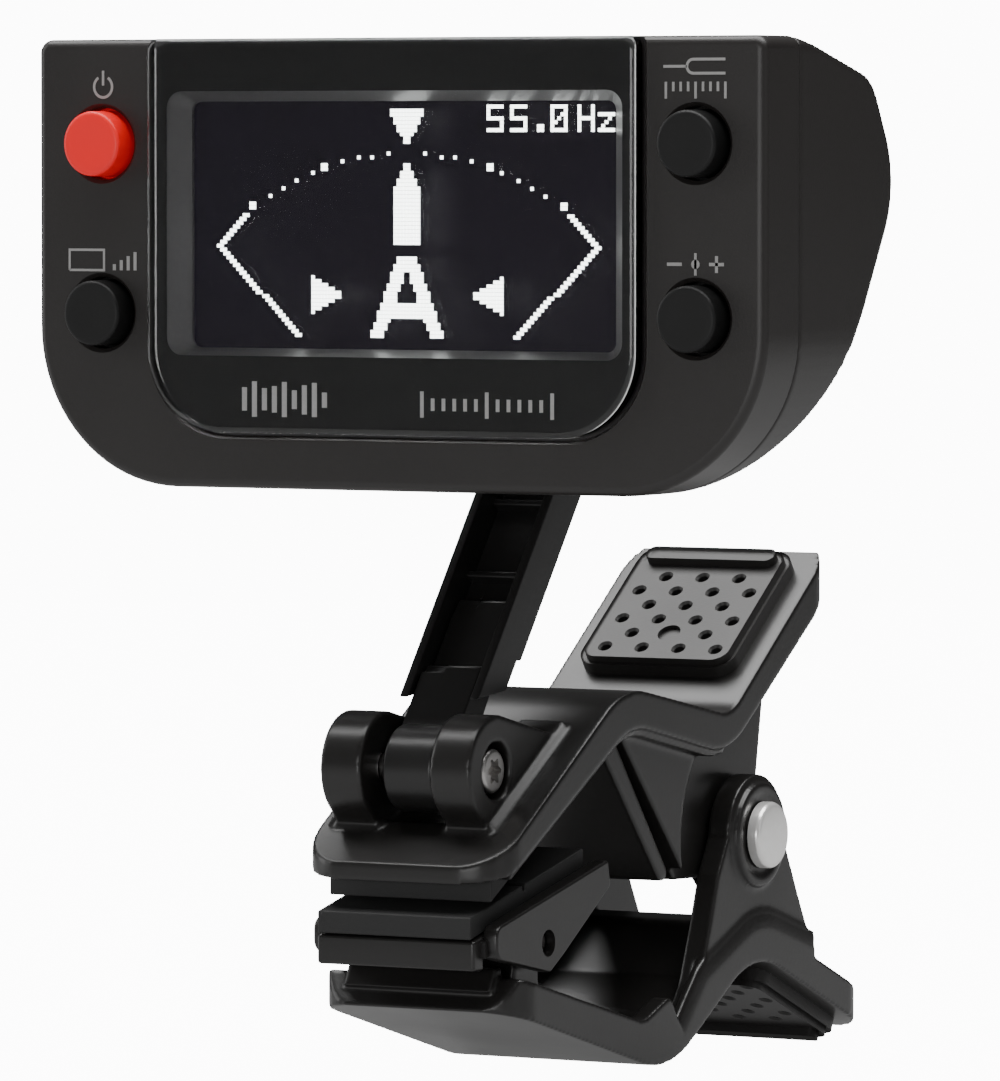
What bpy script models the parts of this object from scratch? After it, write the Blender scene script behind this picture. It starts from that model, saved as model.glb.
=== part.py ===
"""Clip-on instrument tuner: a display unit on a folding arm, carried by a sprung two-lever clip.

The frame's origin is the centre of the upper jaw's grip face. +X runs to the right across the clip,
+Y runs back from the display to the finger grips, and +Z is up. Every length in this file is in
millimetres, and MM turns it into Blender's metres where a mesh is made.
"""
import math

import bmesh
import bpy
from mathutils import Matrix, Vector

MM = 0.001
GAP = 0.3            # running and assembly clearance between neighbouring pieces
MERGE = 0.002        # corners closer than this are one corner

# Display unit
HEAD_X = -0.65       # the display unit and its arm stand this far to the left of the clip's middle
CASE_WIDTH = 61.0
CASE_HEIGHT = 33.0
CASE_TOP = 59.6      # height of the housing's top edge
CASE_FRONT = -7.0    # Y of the front face
CASE_DEPTH = 5.3     # depth of the front shell, up to the parting line
CORNER_LOW = 11.8
CORNER_TOP = 1.0
WALL = 1.5
SCREEN_RIM = 1.3     # width of the frame round the screen
LENS_HALF = 20.5
LENS_HEIGHT = 29.4
LENS_PROUD = 1.0
LENS_SEAT = 0.5      # depth of the recess that the lens sits in
SCREEN_HALF = 17.8
SCREEN_TOP = CASE_TOP - 4.6
SCREEN_LOW = CASE_TOP - 22.7
BUTTON_X = 24.9
BUTTON_HIGH = CASE_TOP - 7.7
BUTTON_LOW = CASE_TOP - 20.2
BUTTON_RADIUS = 2.45
BUTTON_PROUD = 1.6
BUTTON_BORE = BUTTON_RADIUS + GAP
CELL_RADIUS = 5.25
CELL_LENGTH = 44.5
CELL_Y = CASE_FRONT + 12.6
CELL_Z = CASE_TOP - 10.4
BOARD_FRONT = CASE_FRONT + 3.8
SCREW_X = 21.0       # the case screws and their pillars
SCREW_Z = CASE_TOP - 29.0
PILLAR_RADIUS = 2.2
PIN_BORE = 1.2 + GAP
SCREW_BORE = 1.0 + GAP
SWIVEL_BORE = 1.5 + GAP
DOOR_REACH = 22.0    # X of the battery door's inner end; it runs from there to the left side

# Arm and the hinges at its two ends
KNUCKLE_Y, KNUCKLE_Z = -2.8, 6.2
ARM_LEAN = 37.8      # degrees back from upright
ARM_LENGTH = 33.0    # between the two hinge axes
ARM_HALF = 3.25
ARM_FRONT = 1.2      # from the line of centres to the channel's open front
ARM_BACK = 2.5
TILT_Y = KNUCKLE_Y + ARM_LENGTH * math.sin(math.radians(ARM_LEAN))
TILT_Z = KNUCKLE_Z + ARM_LENGTH * math.cos(math.radians(ARM_LEAN))
SWIVEL_Z = CASE_TOP - 25.5
BOSS_BACK = CASE_FRONT + 16.6
DISC_THICK = 2.2
DISC_RADIUS = 5.4
ARM_WALL = 0.75      # side walls of the channel
YOKE_OUTER = ARM_HALF + GAP + 1.8

# Clip
CLIP_HALF = 8.5
CLIP_WALL = 1.5      # side walls of the two jaws
PIVOT_Y, PIVOT_Z = 33.2, -0.8
GRIP_SLOPE = 29.0    # degrees; the upper grip face rises towards the back
EAR_INNER = 2.9      # the clevis ears' inner and outer faces
EAR_OUTER = 6.3
EAR_RADIUS = 4.1
WEB_INNER = 4.6      # the upper lever's webs beside the pivot
WEB_OUTER = 6.0
WEB_FACE = CLIP_HALF - 1.2   # the webs' outer faces away from the pivot
CHEEK_INNER = 6.3    # the lower lever's ears outside those webs
CHEEK_OUTER = 8.2
RING_FACE = CLIP_HALF + 0.2  # the raised ring round the pivot pin
PIVOT_PIN = 1.5
PIN_HEAD = 2.55
GRIP_GROOVE = 0.4    # the groove that parts each grip face into a front and a rear land
GRIP_SPLIT = -0.6    # Y of the rear land's front edge on the upper grip
ROCKER_SPLIT = 0.1
ROCKER_Y, ROCKER_Z = 1.2, -6.6
ROCKER_SLOPE = 12.9
ROCKER_PIN = 0.8
TROUGH_FRONT = -2.9  # Y of the lower jaw's inner front and rear walls
TROUGH_BACK = 41.6
LUG_RADIUS = 1.65
LUG_INNER = 3.0      # the lower lever's two lugs, which carry the rocker's pin
LUG_OUTER = 5.9
BED_HALF = 5.8       # the rocker's bed and rubber, between its two flanges
FLANGE_INNER = 6.5
FLANGE_OUTER = 7.75
FINGER_HALF = 6.7
UPPER_PAD = (4.6, 17.2)      # start and end of each finger pad, measured along its handle from the bend
LOWER_PAD = (4.6, 18.4)

# The levers' outer lines in the side view: (Y, Z, corner radius), from the jaw tip to the handle tip
UPPER_TOP = [(-7.9, -0.5, 0.8), (11.65, 11.75, 9.0), (28.4, 8.66, 4.0), (43.3, 19.6, 0.8)]
UPPER_LOW = [(-7.9, -1.8, 0.0), (-5.4, -1.2, 2.0), (12.8, 8.76, 7.0), (28.1, 5.66, 7.5), (44.2, 16.8, 0.8)]
LOWER_LOW = [(-5.4, -11.2, 1.0), (18.5, -17.73, 10.0), (32.6, -9.64, 9.0), (51.3, -17.2, 0.8)]
JAW_WALL = [(-3.6, -8.8, 0.6), (14.6, -13.5, 3.0), (18.8, -11.9, 0.8), (20.6, -14.6, 0.0)]
LOWER_BAND = [(20.9, -14.9, 0.0), (24.6, -11.1, 3.0), (33.4, -7.5, 7.0), (42.4, -10.2, 0.0)]
LOWER_HANDLE = [(42.4, -10.9, 0.0), (50.4, -14.1, 1.0)]


# ---------------------------------------------------------------- outlines

def rounded(corners, steps=5, closed=True):
    """Points of a polyline whose corners (u, v, radius) are turned into arcs."""
    points = []
    count = len(corners)
    for index, (u, v, radius) in enumerate(corners):
        here = Vector((u, v))
        inside = closed or 0 < index < count - 1
        if radius == 0 or not inside:
            points.append(here)
            continue
        before = Vector(corners[index - 1][:2]) - here
        after = Vector(corners[(index + 1) % count][:2]) - here
        half = before.angle(after) / 2
        reach = radius / math.tan(half)
        first = here + before.normalized() * reach
        last = here + after.normalized() * reach
        centre = here + (before.normalized() + after.normalized()).normalized() * radius / math.sin(half)
        sweep = math.pi - 2 * half
        turn = (first - centre).angle_signed(last - centre)
        for step in range(steps + 1):
            angle = -math.copysign(sweep, turn) * step / steps
            arm = Matrix.Rotation(angle, 2) @ (first - centre)
            points.append(centre + arm)
    return [(point.x, point.y) for point in points]


def offset_path(path, distance):
    """An open polyline moved to its left by distance, with mitred corners."""
    moved = []
    for index, (u, v) in enumerate(path):
        ahead = Vector(path[min(index + 1, len(path) - 1)]) - Vector((u, v))
        behind = Vector((u, v)) - Vector(path[max(index - 1, 0)])
        ahead = behind if ahead.length == 0 else ahead
        behind = ahead if behind.length == 0 else behind
        left_ahead = Vector((-ahead.y, ahead.x)).normalized()
        left_behind = Vector((-behind.y, behind.x)).normalized()
        mitre = (left_ahead + left_behind).normalized()
        length = distance / max(mitre.dot(left_ahead), 0.5)
        moved.append((u + mitre.x * length, v + mitre.y * length))
    return moved


def circle(u, v, radius, steps=24):
    """A full circle as a closed outline."""
    angles = [2 * math.pi * step / steps for step in range(steps)]
    return [(u + radius * math.cos(angle), v + radius * math.sin(angle)) for angle in angles]


def arc(u, v, radius, start, stop, steps):
    """Points of an arc between two angles in degrees."""
    angles = [math.radians(start + (stop - start) * step / steps) for step in range(steps + 1)]
    return [(u + radius * math.cos(angle), v + radius * math.sin(angle)) for angle in angles]


def rear_line():
    """The rear cover's outer line in the side view, from the top of the parting line to its foot."""
    y, z = CASE_FRONT, CASE_TOP
    corners = [
        (y + CASE_DEPTH, z, 0.0),
        (y + 16.9, z - 3.0, 4.0),
        (y + 21.1, z - 10.6, 7.0),
        (y + 15.6, z - 19.8, 9.0),
        (y + 6.0, z - CASE_HEIGHT, 0.0),
    ]
    return rounded(corners, steps=5, closed=False)


def case_outline(inset):
    """The housing's front view, set in from its outside by inset."""
    half = CASE_WIDTH / 2 - inset
    top = CASE_TOP - inset
    low = CASE_TOP - CASE_HEIGHT + inset
    top_radius = max(CORNER_TOP - inset, 0.2)
    low_radius = CORNER_LOW - inset
    corners = [(-half, top, top_radius), (-half, low, low_radius), (half, low, low_radius),
               (half, top, top_radius)]
    return rounded(corners, steps=8)


def screen_rectangle(rim):
    """The screen's front view, grown by rim on every side."""
    half, low, high = SCREEN_HALF + rim, SCREEN_LOW - rim, SCREEN_TOP + rim
    return [(-half, low), (half, low), (half, high), (-half, high)]


def arm_point(along, across):
    """(Y, Z) of a point on the arm: along it from the base hinge, and across it towards its front."""
    lean = math.radians(ARM_LEAN)
    y = KNUCKLE_Y + along * math.sin(lean) - across * math.cos(lean)
    z = KNUCKLE_Z + along * math.cos(lean) + across * math.sin(lean)
    return y, z


# ---------------------------------------------------------------- solids

def add_object(name, vertices, faces):
    """A mesh object from vertices in millimetres, with its faces turned out."""
    mesh = bpy.data.meshes.new(name)
    mesh.from_pydata([Vector(vertex) * MM for vertex in vertices], [], faces)
    body = bmesh.new()
    body.from_mesh(mesh)
    bmesh.ops.recalc_face_normals(body, faces=body.faces)
    body.to_mesh(mesh)
    body.free()
    piece = bpy.data.objects.new(name, mesh)
    bpy.context.scene.collection.objects.link(piece)
    return piece


def prism(name, outline, axis, low, high):
    """A straight extrusion. The outline is (Y, Z) along X, (X, Z) along Y or (X, Y) along Z."""
    place = {
        "X": lambda u, v, w: (w, u, v),
        "Y": lambda u, v, w: (u, w, v),
        "Z": lambda u, v, w: (u, v, w),
    }[axis]
    count = len(outline)
    vertices = [place(u, v, w) for w in (low, high) for u, v in outline]
    faces = [tuple(range(count)), tuple(range(count, 2 * count))]
    for index in range(count):
        after = (index + 1) % count
        faces.append((index, after, count + after, count + index))
    return add_object(name, vertices, faces)


def side_slab(name, outline, inner, outer, side, middle=0.0):
    """A prism along X between two distances from a middle plane, to its right (side 1) or left (side -1)."""
    low, high = sorted((middle + side * inner, middle + side * outer))
    return prism(name, outline, "X", low, high)


def block(name, low, high):
    """A rectangular solid between two corners."""
    outline = [(low[0], low[1]), (high[0], low[1]), (high[0], high[1]), (low[0], high[1])]
    return prism(name, outline, "Z", low[2], high[2])


def turned(name, profile, centre, axis, steps=24):
    """A solid of revolution. The profile is (distance along the axis, radius), starting and ending at 0."""
    ring_of = []
    vertices = []
    for along, radius in profile:
        if radius == 0:
            ring_of.append([len(vertices)] * steps)
            vertices.append((along, 0.0, 0.0))
            continue
        ring_of.append([len(vertices) + step for step in range(steps)])
        for step in range(steps):
            angle = 2 * math.pi * step / steps
            vertices.append((along, radius * math.cos(angle), radius * math.sin(angle)))
    faces = []
    for ring, after_ring in zip(ring_of, ring_of[1:]):
        for step in range(steps):
            after = (step + 1) % steps
            loop = [ring[step], ring[after], after_ring[after], after_ring[step]]
            face = tuple(dict.fromkeys(loop))
            if len(face) > 2:
                faces.append(face)
    turn = {"X": Matrix.Identity(3), "Y": Matrix.Rotation(math.pi / 2, 3, "Z"),
            "Z": Matrix.Rotation(-math.pi / 2, 3, "Y")}[axis]
    centre = Vector(centre)
    return add_object(name, [turn @ Vector(vertex) + centre for vertex in vertices], faces)


def rod(name, radius, centre, axis, low, high, steps=24):
    """A plain cylinder between two distances along an axis."""
    return turned(name, [(low, 0), (low, radius), (high, radius), (high, 0)], centre, axis, steps)


def tube_along(name, path, radius, sides=8):
    """A round wire along a smooth path of points, with closed ends."""
    vertices = []
    for index, point in enumerate(path):
        ahead = Vector(path[min(index + 1, len(path) - 1)])
        behind = Vector(path[max(index - 1, 0)])
        forward = (ahead - behind).normalized()
        side = forward.cross(Vector((1, 0, 0.02))).normalized()
        up = side.cross(forward)
        for step in range(sides):
            angle = 2 * math.pi * step / sides
            rim = side * math.cos(angle) * radius + up * math.sin(angle) * radius
            vertices.append(Vector(point) + rim)
    faces = [tuple(range(sides)), tuple(len(vertices) - 1 - step for step in range(sides))]
    for index in range(len(path) - 1):
        for step in range(sides):
            after = (step + 1) % sides
            row, next_row = index * sides, (index + 1) * sides
            faces.append((row + step, row + after, next_row + after, next_row + step))
    return add_object(name, vertices, faces)


def combine(target, tool, operation):
    """Cuts, joins or intersects target with tool, keeps the result in target and removes tool."""
    change = target.modifiers.new(operation.lower(), "BOOLEAN")
    change.operation = operation
    change.object = tool
    graph = bpy.context.evaluated_depsgraph_get()
    result = bpy.data.meshes.new_from_object(target.evaluated_get(graph))
    target.modifiers.clear()
    target.data = result
    body = bmesh.new()
    body.from_mesh(result)
    bmesh.ops.remove_doubles(body, verts=body.verts, dist=MERGE * MM)
    bmesh.ops.dissolve_degenerate(body, edges=body.edges, dist=MERGE * MM)
    bmesh.ops.triangulate(body, faces=body.faces)
    body.to_mesh(result)
    body.free()
    bpy.data.objects.remove(tool)
    return target


def cut(target, *tools):
    for tool in tools:
        combine(target, tool, "DIFFERENCE")
    return target


def join(target, *tools):
    for tool in tools:
        combine(target, tool, "UNION")
    return target


def keep_inside(target, *tools):
    for tool in tools:
        combine(target, tool, "INTERSECT")
    return target


# ---------------------------------------------------------------- finish

MATERIALS = {
    "charcoal_abs": ((0.020, 0.019, 0.019), 0.42, 0.0),
    "black_abs": ((0.012, 0.012, 0.012), 0.38, 0.0),
    "gloss_lens": ((0.010, 0.009, 0.012), 0.06, 0.0),
    "bezel_grey": ((0.055, 0.055, 0.060), 0.35, 0.0),
    "oled_glass": ((0.008, 0.004, 0.014), 0.12, 0.0),
    "board_green": ((0.010, 0.070, 0.030), 0.50, 0.0),
    "red_rubber": ((0.600, 0.012, 0.015), 0.40, 0.0),
    "black_rubber": ((0.010, 0.010, 0.010), 0.70, 0.0),
    "steel": ((0.560, 0.550, 0.530), 0.28, 1.0),
    "spring_steel": ((0.350, 0.340, 0.330), 0.35, 1.0),
    "switch_metal": ((0.600, 0.600, 0.600), 0.30, 1.0),
    "cell_jacket": ((0.080, 0.085, 0.090), 0.30, 0.0),
    "brass_disc": ((0.550, 0.380, 0.130), 0.30, 1.0),
}


def material(name):
    """The Principled material of that name, made when it is first asked for."""
    if name in bpy.data.materials:
        return bpy.data.materials[name]
    colour, roughness, metallic = MATERIALS[name]
    finish = bpy.data.materials.new(name)
    finish.use_nodes = True
    shader = finish.node_tree.nodes["Principled BSDF"]
    shader.inputs["Base Color"].default_value = (*colour, 1.0)
    shader.inputs["Roughness"].default_value = roughness
    shader.inputs["Metallic"].default_value = metallic
    finish.diffuse_color = (*colour, 1.0)
    return finish


def dress(piece, finish, smooth=False):
    """Gives a piece its one material, and smooth shading where it is round."""
    piece.data.materials.clear()
    piece.data.materials.append(material(finish))
    if smooth:
        piece.data.shade_smooth()
        piece.data.set_sharp_from_angle(angle=math.radians(35))
    return piece


def shift(pieces, x):
    """Moves pieces along X in their own meshes."""
    for piece in pieces:
        piece.data.transform(Matrix.Translation((x * MM, 0, 0)))
    return pieces


def hang(pieces, name, origin):
    """Parents pieces to an empty on their joint's axis, leaving them where they are."""
    pivot = bpy.data.objects.new(name, None)
    pivot.location = Vector(origin) * MM
    bpy.context.scene.collection.objects.link(pivot)
    for piece in pieces:
        piece.parent = pivot
        piece.matrix_parent_inverse = Matrix.Translation(pivot.location).inverted()
    return pivot


# ---------------------------------------------------------------- display unit

def front_case():
    """The front shell: face plate with a lens recess, the screen's window and four button bores."""
    back = CASE_FRONT + CASE_DEPTH - GAP / 2
    shell = prism("front_case", case_outline(0), "Y", CASE_FRONT, back)
    cut(shell, prism("hollow", case_outline(WALL), "Y", CASE_FRONT + WALL, back + 1))
    half = LENS_HALF + GAP
    low = CASE_TOP - LENS_HEIGHT - GAP
    seat = [(-half, CASE_TOP + 2, 0), (-half, low, 6.6), (half, low, 6.6), (half, CASE_TOP + 2, 0)]
    cut(shell, prism("seat", rounded(seat), "Y", CASE_FRONT - 1, CASE_FRONT + LENS_SEAT))
    window = screen_rectangle(SCREEN_RIM + GAP)
    cut(shell, prism("window", window, "Y", CASE_FRONT - 1, CASE_FRONT + WALL + 1))
    for x in (-BUTTON_X, BUTTON_X):
        for z in (BUTTON_HIGH, BUTTON_LOW):
            cut(shell, rod("bore", BUTTON_BORE, (x, 0, z), "Y", CASE_FRONT - 1, CASE_FRONT + 3))
    for x in (-SCREW_X, SCREW_X):
        join(shell, rod("pillar", PILLAR_RADIUS, (x, 0, SCREW_Z), "Y", CASE_FRONT + 1, back))
        cut(shell, rod("pilot", SCREW_BORE, (x, 0, SCREW_Z), "Y", CASE_FRONT + 2, back + 1, 16))
    return dress(shell, "charcoal_abs")


def rear_cover():
    """The rear shell: a battery bulge across the top, a door opening in it and a boss for the swivel."""
    front = CASE_FRONT + CASE_DEPTH + GAP / 2
    half = CASE_WIDTH / 2
    outer = rear_line()
    outer[0] = (front, CASE_TOP)
    outer.append((front, CASE_TOP - CASE_HEIGHT))
    shell = prism("rear_cover", outer, "X", -half, half)
    keep_inside(shell, prism("front_view", case_outline(0), "Y", front, front + 30))
    inner = offset_path(rear_line(), -WALL)
    inner[0] = (front - 1, CASE_TOP - WALL)
    inner.append((front - 1, inner[-1][1]))
    hollow = prism("hollow", inner, "X", -half + WALL, half - WALL)
    keep_inside(hollow, prism("inner_view", case_outline(WALL), "Y", front - 2, front + 30))
    cut(shell, hollow)
    cut(shell, rod("boss_way", 5.5, (0, 0, SWIVEL_Z), "Y", front + 1, BOSS_BACK + 1))
    join(shell, swivel_boss(front + 2))
    cut(shell, door_opening())
    for x in (-SCREW_X, SCREW_X):
        cut(shell, rod("screw_hole", SCREW_BORE, (x, 0, SCREW_Z), "Y", front - 1, front + 12, 16))
        cut(shell, rod("screw_sink", 2.2, (x, 0, SCREW_Z), "Y", front + 1.2, front + 12, 16))
    return dress(shell, "charcoal_abs", smooth=True)


def swivel_boss(front):
    """The hollow boss that the yoke turns on, closed at its back but for the screw's bore."""
    boss = rod("boss", 6.6, (0, 0, SWIVEL_Z), "Y", front, BOSS_BACK, 32)
    cut(boss, rod("boss_core", 4.4, (0, 0, SWIVEL_Z), "Y", front - 1, BOSS_BACK - 2.0, 32))
    return cut(boss, rod("boss_bore", SWIVEL_BORE, (0, 0, SWIVEL_Z), "Y", front, BOSS_BACK + 1))


def door_line():
    """The stretch of the rear line that the battery door covers."""
    return [point for point in rear_line() if CASE_TOP - 17.6 < point[1] < CASE_TOP - 1.9]


def door_opening():
    """The cutter for the door's opening, a gap wider than the door all round."""
    line = door_line()
    inner = offset_path(line, -WALL - GAP)
    outer = offset_path(line, 3.0)
    first, last = Vector(line[0]) - Vector(line[1]), Vector(line[-1]) - Vector(line[-2])
    for path in (inner, outer):
        path[0] = tuple(Vector(path[0]) + first.normalized() * GAP)
        path[-1] = tuple(Vector(path[-1]) + last.normalized() * GAP)
    return prism("door_opening", outer + inner[::-1], "X", -CASE_WIDTH / 2 - 1, DOOR_REACH + GAP)


def battery_door():
    """The curved door over the battery, which slides off to the left."""
    line = door_line()
    outline = line + offset_path(line, -WALL)[::-1]
    door = prism("battery_door", outline, "X", -CASE_WIDTH / 2, DOOR_REACH)
    return dress(door, "charcoal_abs", smooth=True)


def display_lens():
    """The glossy window over the display, flush with the housing's top."""
    half = LENS_HALF
    low = CASE_TOP - LENS_HEIGHT
    outline = [(-half, CASE_TOP, 0.6), (-half, low, 6.3), (half, low, 6.3), (half, CASE_TOP, 0.6)]
    face = CASE_FRONT - LENS_PROUD
    lens = prism("display_lens", rounded(outline), "Y", face, CASE_FRONT + LENS_SEAT - GAP)
    return dress(lens, "gloss_lens")


def display_bezel():
    """The chamfered frame round the screen, between the lens and the display."""
    front, back = CASE_FRONT + LENS_SEAT + 0.1, CASE_FRONT + LENS_SEAT + 1.2
    frame = prism("display_bezel", screen_rectangle(SCREEN_RIM), "Y", front, back)
    cut(frame, prism("screen_hole", screen_rectangle(0), "Y", front - 1, back + 1))
    return dress(frame, "bezel_grey")


def oled_module():
    """The display panel behind the bezel."""
    low = (-SCREEN_HALF - 1.2, CASE_FRONT + 2.0, SCREEN_LOW - 1.2)
    high = (SCREEN_HALF + 1.2, CASE_FRONT + 3.4, SCREEN_TOP + 1.2)
    return dress(block("oled_module", low, high), "oled_glass")


def circuit_board():
    """The board that carries the display and the switches, clear of the two case screws."""
    z_low, z_high = CASE_TOP - 25.6, CASE_TOP - 2.2
    corners = [(-27.6, z_low, 4.0), (27.6, z_low, 4.0), (27.6, z_high, 1.0), (-27.6, z_high, 1.0)]
    board = prism("circuit_board", rounded(corners, 4), "Y", BOARD_FRONT, BOARD_FRONT + 1.0)
    return dress(board, "board_green")


def button(name, x, z, finish):
    """A button: its cap stands out of the face plate and its flange keeps it in."""
    front = CASE_FRONT - BUTTON_PROUD
    flange = CASE_FRONT + WALL + GAP
    r = BUTTON_RADIUS
    profile = [(front, 0), (front, r - 0.5), (front + 0.15, r - 0.2), (front + 0.5, r), (flange, r),
               (flange, r + 0.7), (flange + 0.5, r + 0.7), (flange + 0.5, 0)]
    return dress(turned(name, profile, (x, 0, z), "Y"), finish, smooth=True)


def tact_switch(name, x, z):
    """The switch on the board behind a button."""
    back = BOARD_FRONT - GAP
    body = block(name, (x - 1.9, back - 0.45, z - 1.9), (x + 1.9, back, z + 1.9))
    return dress(body, "switch_metal")


def battery_cell():
    """A size AAA cell lying across the bulge."""
    half = CELL_LENGTH / 2
    r = CELL_RADIUS
    profile = [(-half, 0), (-half, r - 0.6), (-half + 0.4, r), (half - 1.4, r), (half - 1.0, r - 0.6),
               (half - 1.0, 1.9), (half, 1.9), (half, 0)]
    return dress(turned("battery_cell", profile, (0, CELL_Y, CELL_Z), "X", 24), "cell_jacket", smooth=True)


def contact_plate():
    """The flat contact at the cell's positive end."""
    x = CELL_LENGTH / 2 + GAP
    low = (x, CELL_Y - 3.2, CELL_Z - 3.6)
    return dress(block("contact_plate", low, (x + 0.4, CELL_Y + 3.2, CELL_Z + 3.6)), "steel")


def contact_spring():
    """The coil that presses on the cell's negative end."""
    turns, steps = 3, 12
    start = -CELL_LENGTH / 2 - GAP - 0.4
    path = []
    for step in range(turns * steps + 1):
        angle = 2 * math.pi * step / steps
        radius = 2.0 + 1.2 * step / (turns * steps)
        x = start - 4.4 * step / (turns * steps)
        path.append((x, CELL_Y + radius * math.cos(angle), CELL_Z + radius * math.sin(angle)))
    return dress(tube_along("contact_spring", path, 0.3, 5), "spring_steel", smooth=True)


def piezo_sensor():
    """The vibration sensor, a disc beside the swivel boss on the rear cover's slope."""
    centre = (13.0, CASE_FRONT + 7.2, CASE_TOP - 25.0)
    return dress(rod("piezo_sensor", 3.0, centre, "Y", -0.3, 0.3), "brass_disc", smooth=True)


def case_screw(name, x):
    """A self-tapping screw from the rear cover into a pillar of the front shell."""
    z = SCREW_Z
    head = CASE_FRONT + CASE_DEPTH + GAP / 2 + 1.2 + GAP
    profile = [(CASE_FRONT + 2.4, 0), (CASE_FRONT + 2.4, 1.0), (head, 1.0), (head, 1.8), (head + 0.9, 1.8),
               (head + 0.9, 0)]
    return dress(turned(name, profile, (x, 0, z), "Y", 16), "steel", smooth=True)


# ---------------------------------------------------------------- swivel, arm and hinges

def swivel_yoke():
    """The disc that turns on the rear cover's boss, with two ears for the tilt hinge."""
    front = BOSS_BACK + GAP
    disc = rod("swivel_yoke", DISC_RADIUS, (0, 0, SWIVEL_Z), "Y", front, front + DISC_THICK)
    ear_corners = [(front + 0.6, SWIVEL_Z + 3.6, 0.8), (front + 4.0, SWIVEL_Z + 3.2, 3.0),
                   (TILT_Y + 3.1, TILT_Z + 2.6, 3.0), (TILT_Y + 3.1, TILT_Z - 3.1, 3.0),
                   (TILT_Y - 2.4, TILT_Z - 3.1, 3.0), (front + 0.6, SWIVEL_Z - 4.4, 0.0)]
    for side in (-1, 1):
        join(disc, side_slab("ear", rounded(ear_corners), ARM_HALF + GAP, YOKE_OUTER, side))
    cut(disc, rod("tilt_bore", PIN_BORE, (0, TILT_Y, TILT_Z), "X", -8, 8))
    cut(disc, rod("swivel_bore", SWIVEL_BORE, (0, 0, SWIVEL_Z), "Y", front - 1, front + 5, 16))
    cut(disc, rod("swivel_sink", 2.9, (0, 0, SWIVEL_Z), "Y", front + 1.4, front + 5))
    return dress(disc, "black_abs", smooth=True)


def swivel_screw():
    """The shoulder screw that holds the yoke on the boss."""
    head = BOSS_BACK + GAP + 1.4 + GAP
    inside = BOSS_BACK - 2.0 - 1.8
    profile = [(inside, 0), (inside, 1.5), (head, 1.5), (head, 2.6), (head + 0.9, 2.6), (head + 0.9, 0)]
    return dress(turned("swivel_screw", profile, (0, 0, SWIVEL_Z), "Y"), "steel", smooth=True)


def swivel_washer():
    """The sprung washer and nut inside the boss, which give the swivel its friction."""
    back = BOSS_BACK - 2.0 - GAP
    ring = rod("swivel_washer", 3.4, (0, 0, SWIVEL_Z), "Y", back - 1.0, back)
    cut(ring, rod("washer_bore", SWIVEL_BORE, (0, 0, SWIVEL_Z), "Y", back - 3, back + 1))
    return dress(ring, "spring_steel", smooth=True)


def tilt_pin():
    """The pin of the hinge between the arm and the yoke."""
    end = YOKE_OUTER + GAP
    profile = [(-end - 0.7, 0), (-end - 0.7, 1.5), (-end - 0.4, 2.1), (-end, 2.1), (-end, 1.2),
               (end, 1.2), (end, 2.1), (end + 0.4, 2.1), (end + 0.7, 1.5), (end + 0.7, 0)]
    return dress(turned("tilt_pin", profile, (0, TILT_Y, TILT_Z), "X"), "steel", smooth=True)


def arm_outline(corners):
    """A side view outline of the arm from (along, across, radius) corners."""
    placed = [(*arm_point(along, across), radius) for along, across, radius in corners]
    return rounded(placed)


def arm_channel():
    """The arm's outer piece: a channel open to the front, with the tilt knuckle at its top."""
    corners = [(5.4, ARM_FRONT, 0.0), (8.4, -ARM_BACK + 0.5, 0.0), (11.2, -ARM_BACK + 0.5, 0.0),
               (11.4, -ARM_BACK, 0.0), (ARM_LENGTH + 2.4, -ARM_BACK, 2.4),
               (ARM_LENGTH + 2.4, ARM_FRONT + 1.2, 2.4), (ARM_LENGTH - 3.6, ARM_FRONT + 1.2, 1.0),
               (ARM_LENGTH - 5.0, ARM_FRONT, 1.0)]
    inside = ARM_HALF - ARM_WALL
    channel = prism("arm_channel", arm_outline(corners), "X", -ARM_HALF, ARM_HALF)
    hollow = [(4.0, ARM_FRONT + 3, 0.0), (4.0, -ARM_BACK + 1.0, 0.0),
              (ARM_LENGTH - 4.0, -ARM_BACK + 1.0, 1.0), (ARM_LENGTH - 4.0, ARM_FRONT + 3, 0.0)]
    cut(channel, prism("channel_hollow", arm_outline(hollow), "X", -inside, inside))
    heel = [(3.0, -ARM_BACK - 1, 0), (10.0, -ARM_BACK - 1, 0),
            (8.0, -ARM_BACK + 1.4, 0), (3.0, -ARM_BACK + 1.4, 0)]
    cut(channel, prism("heel", arm_outline(heel), "X", -inside, inside))
    cut(channel, rod("tilt_bore", PIN_BORE, (0, TILT_Y, TILT_Z), "X", -8, 8))
    return dress(channel, "black_abs")


def arm_core():
    """The tongue inside the channel, ending in the knuckle between the clevis ears."""
    half = ARM_HALF - ARM_WALL - GAP
    tongue = [(0.0, 0.9, 0.0), (0.0, -2.0, 0.0), (12.5, -ARM_BACK + 1.0 + GAP, 0.0),
              (15.5, -ARM_BACK + 1.0 + GAP, 0.0), (15.5, -0.3, 0.5), (9.2, -0.3, 0.0), (8.6, 0.9, 0.5)]
    core = prism("arm_core", arm_outline(tongue), "X", -half, half)
    knuckle = rod("knuckle", 3.2, (0, KNUCKLE_Y, KNUCKLE_Z), "X", -EAR_INNER + GAP, EAR_INNER - GAP)
    join(core, knuckle)
    cut(core, rod("knuckle_bore", SCREW_BORE, (0, KNUCKLE_Y, KNUCKLE_Z), "X", -8, 8))
    return dress(core, "black_abs", smooth=True)


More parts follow.
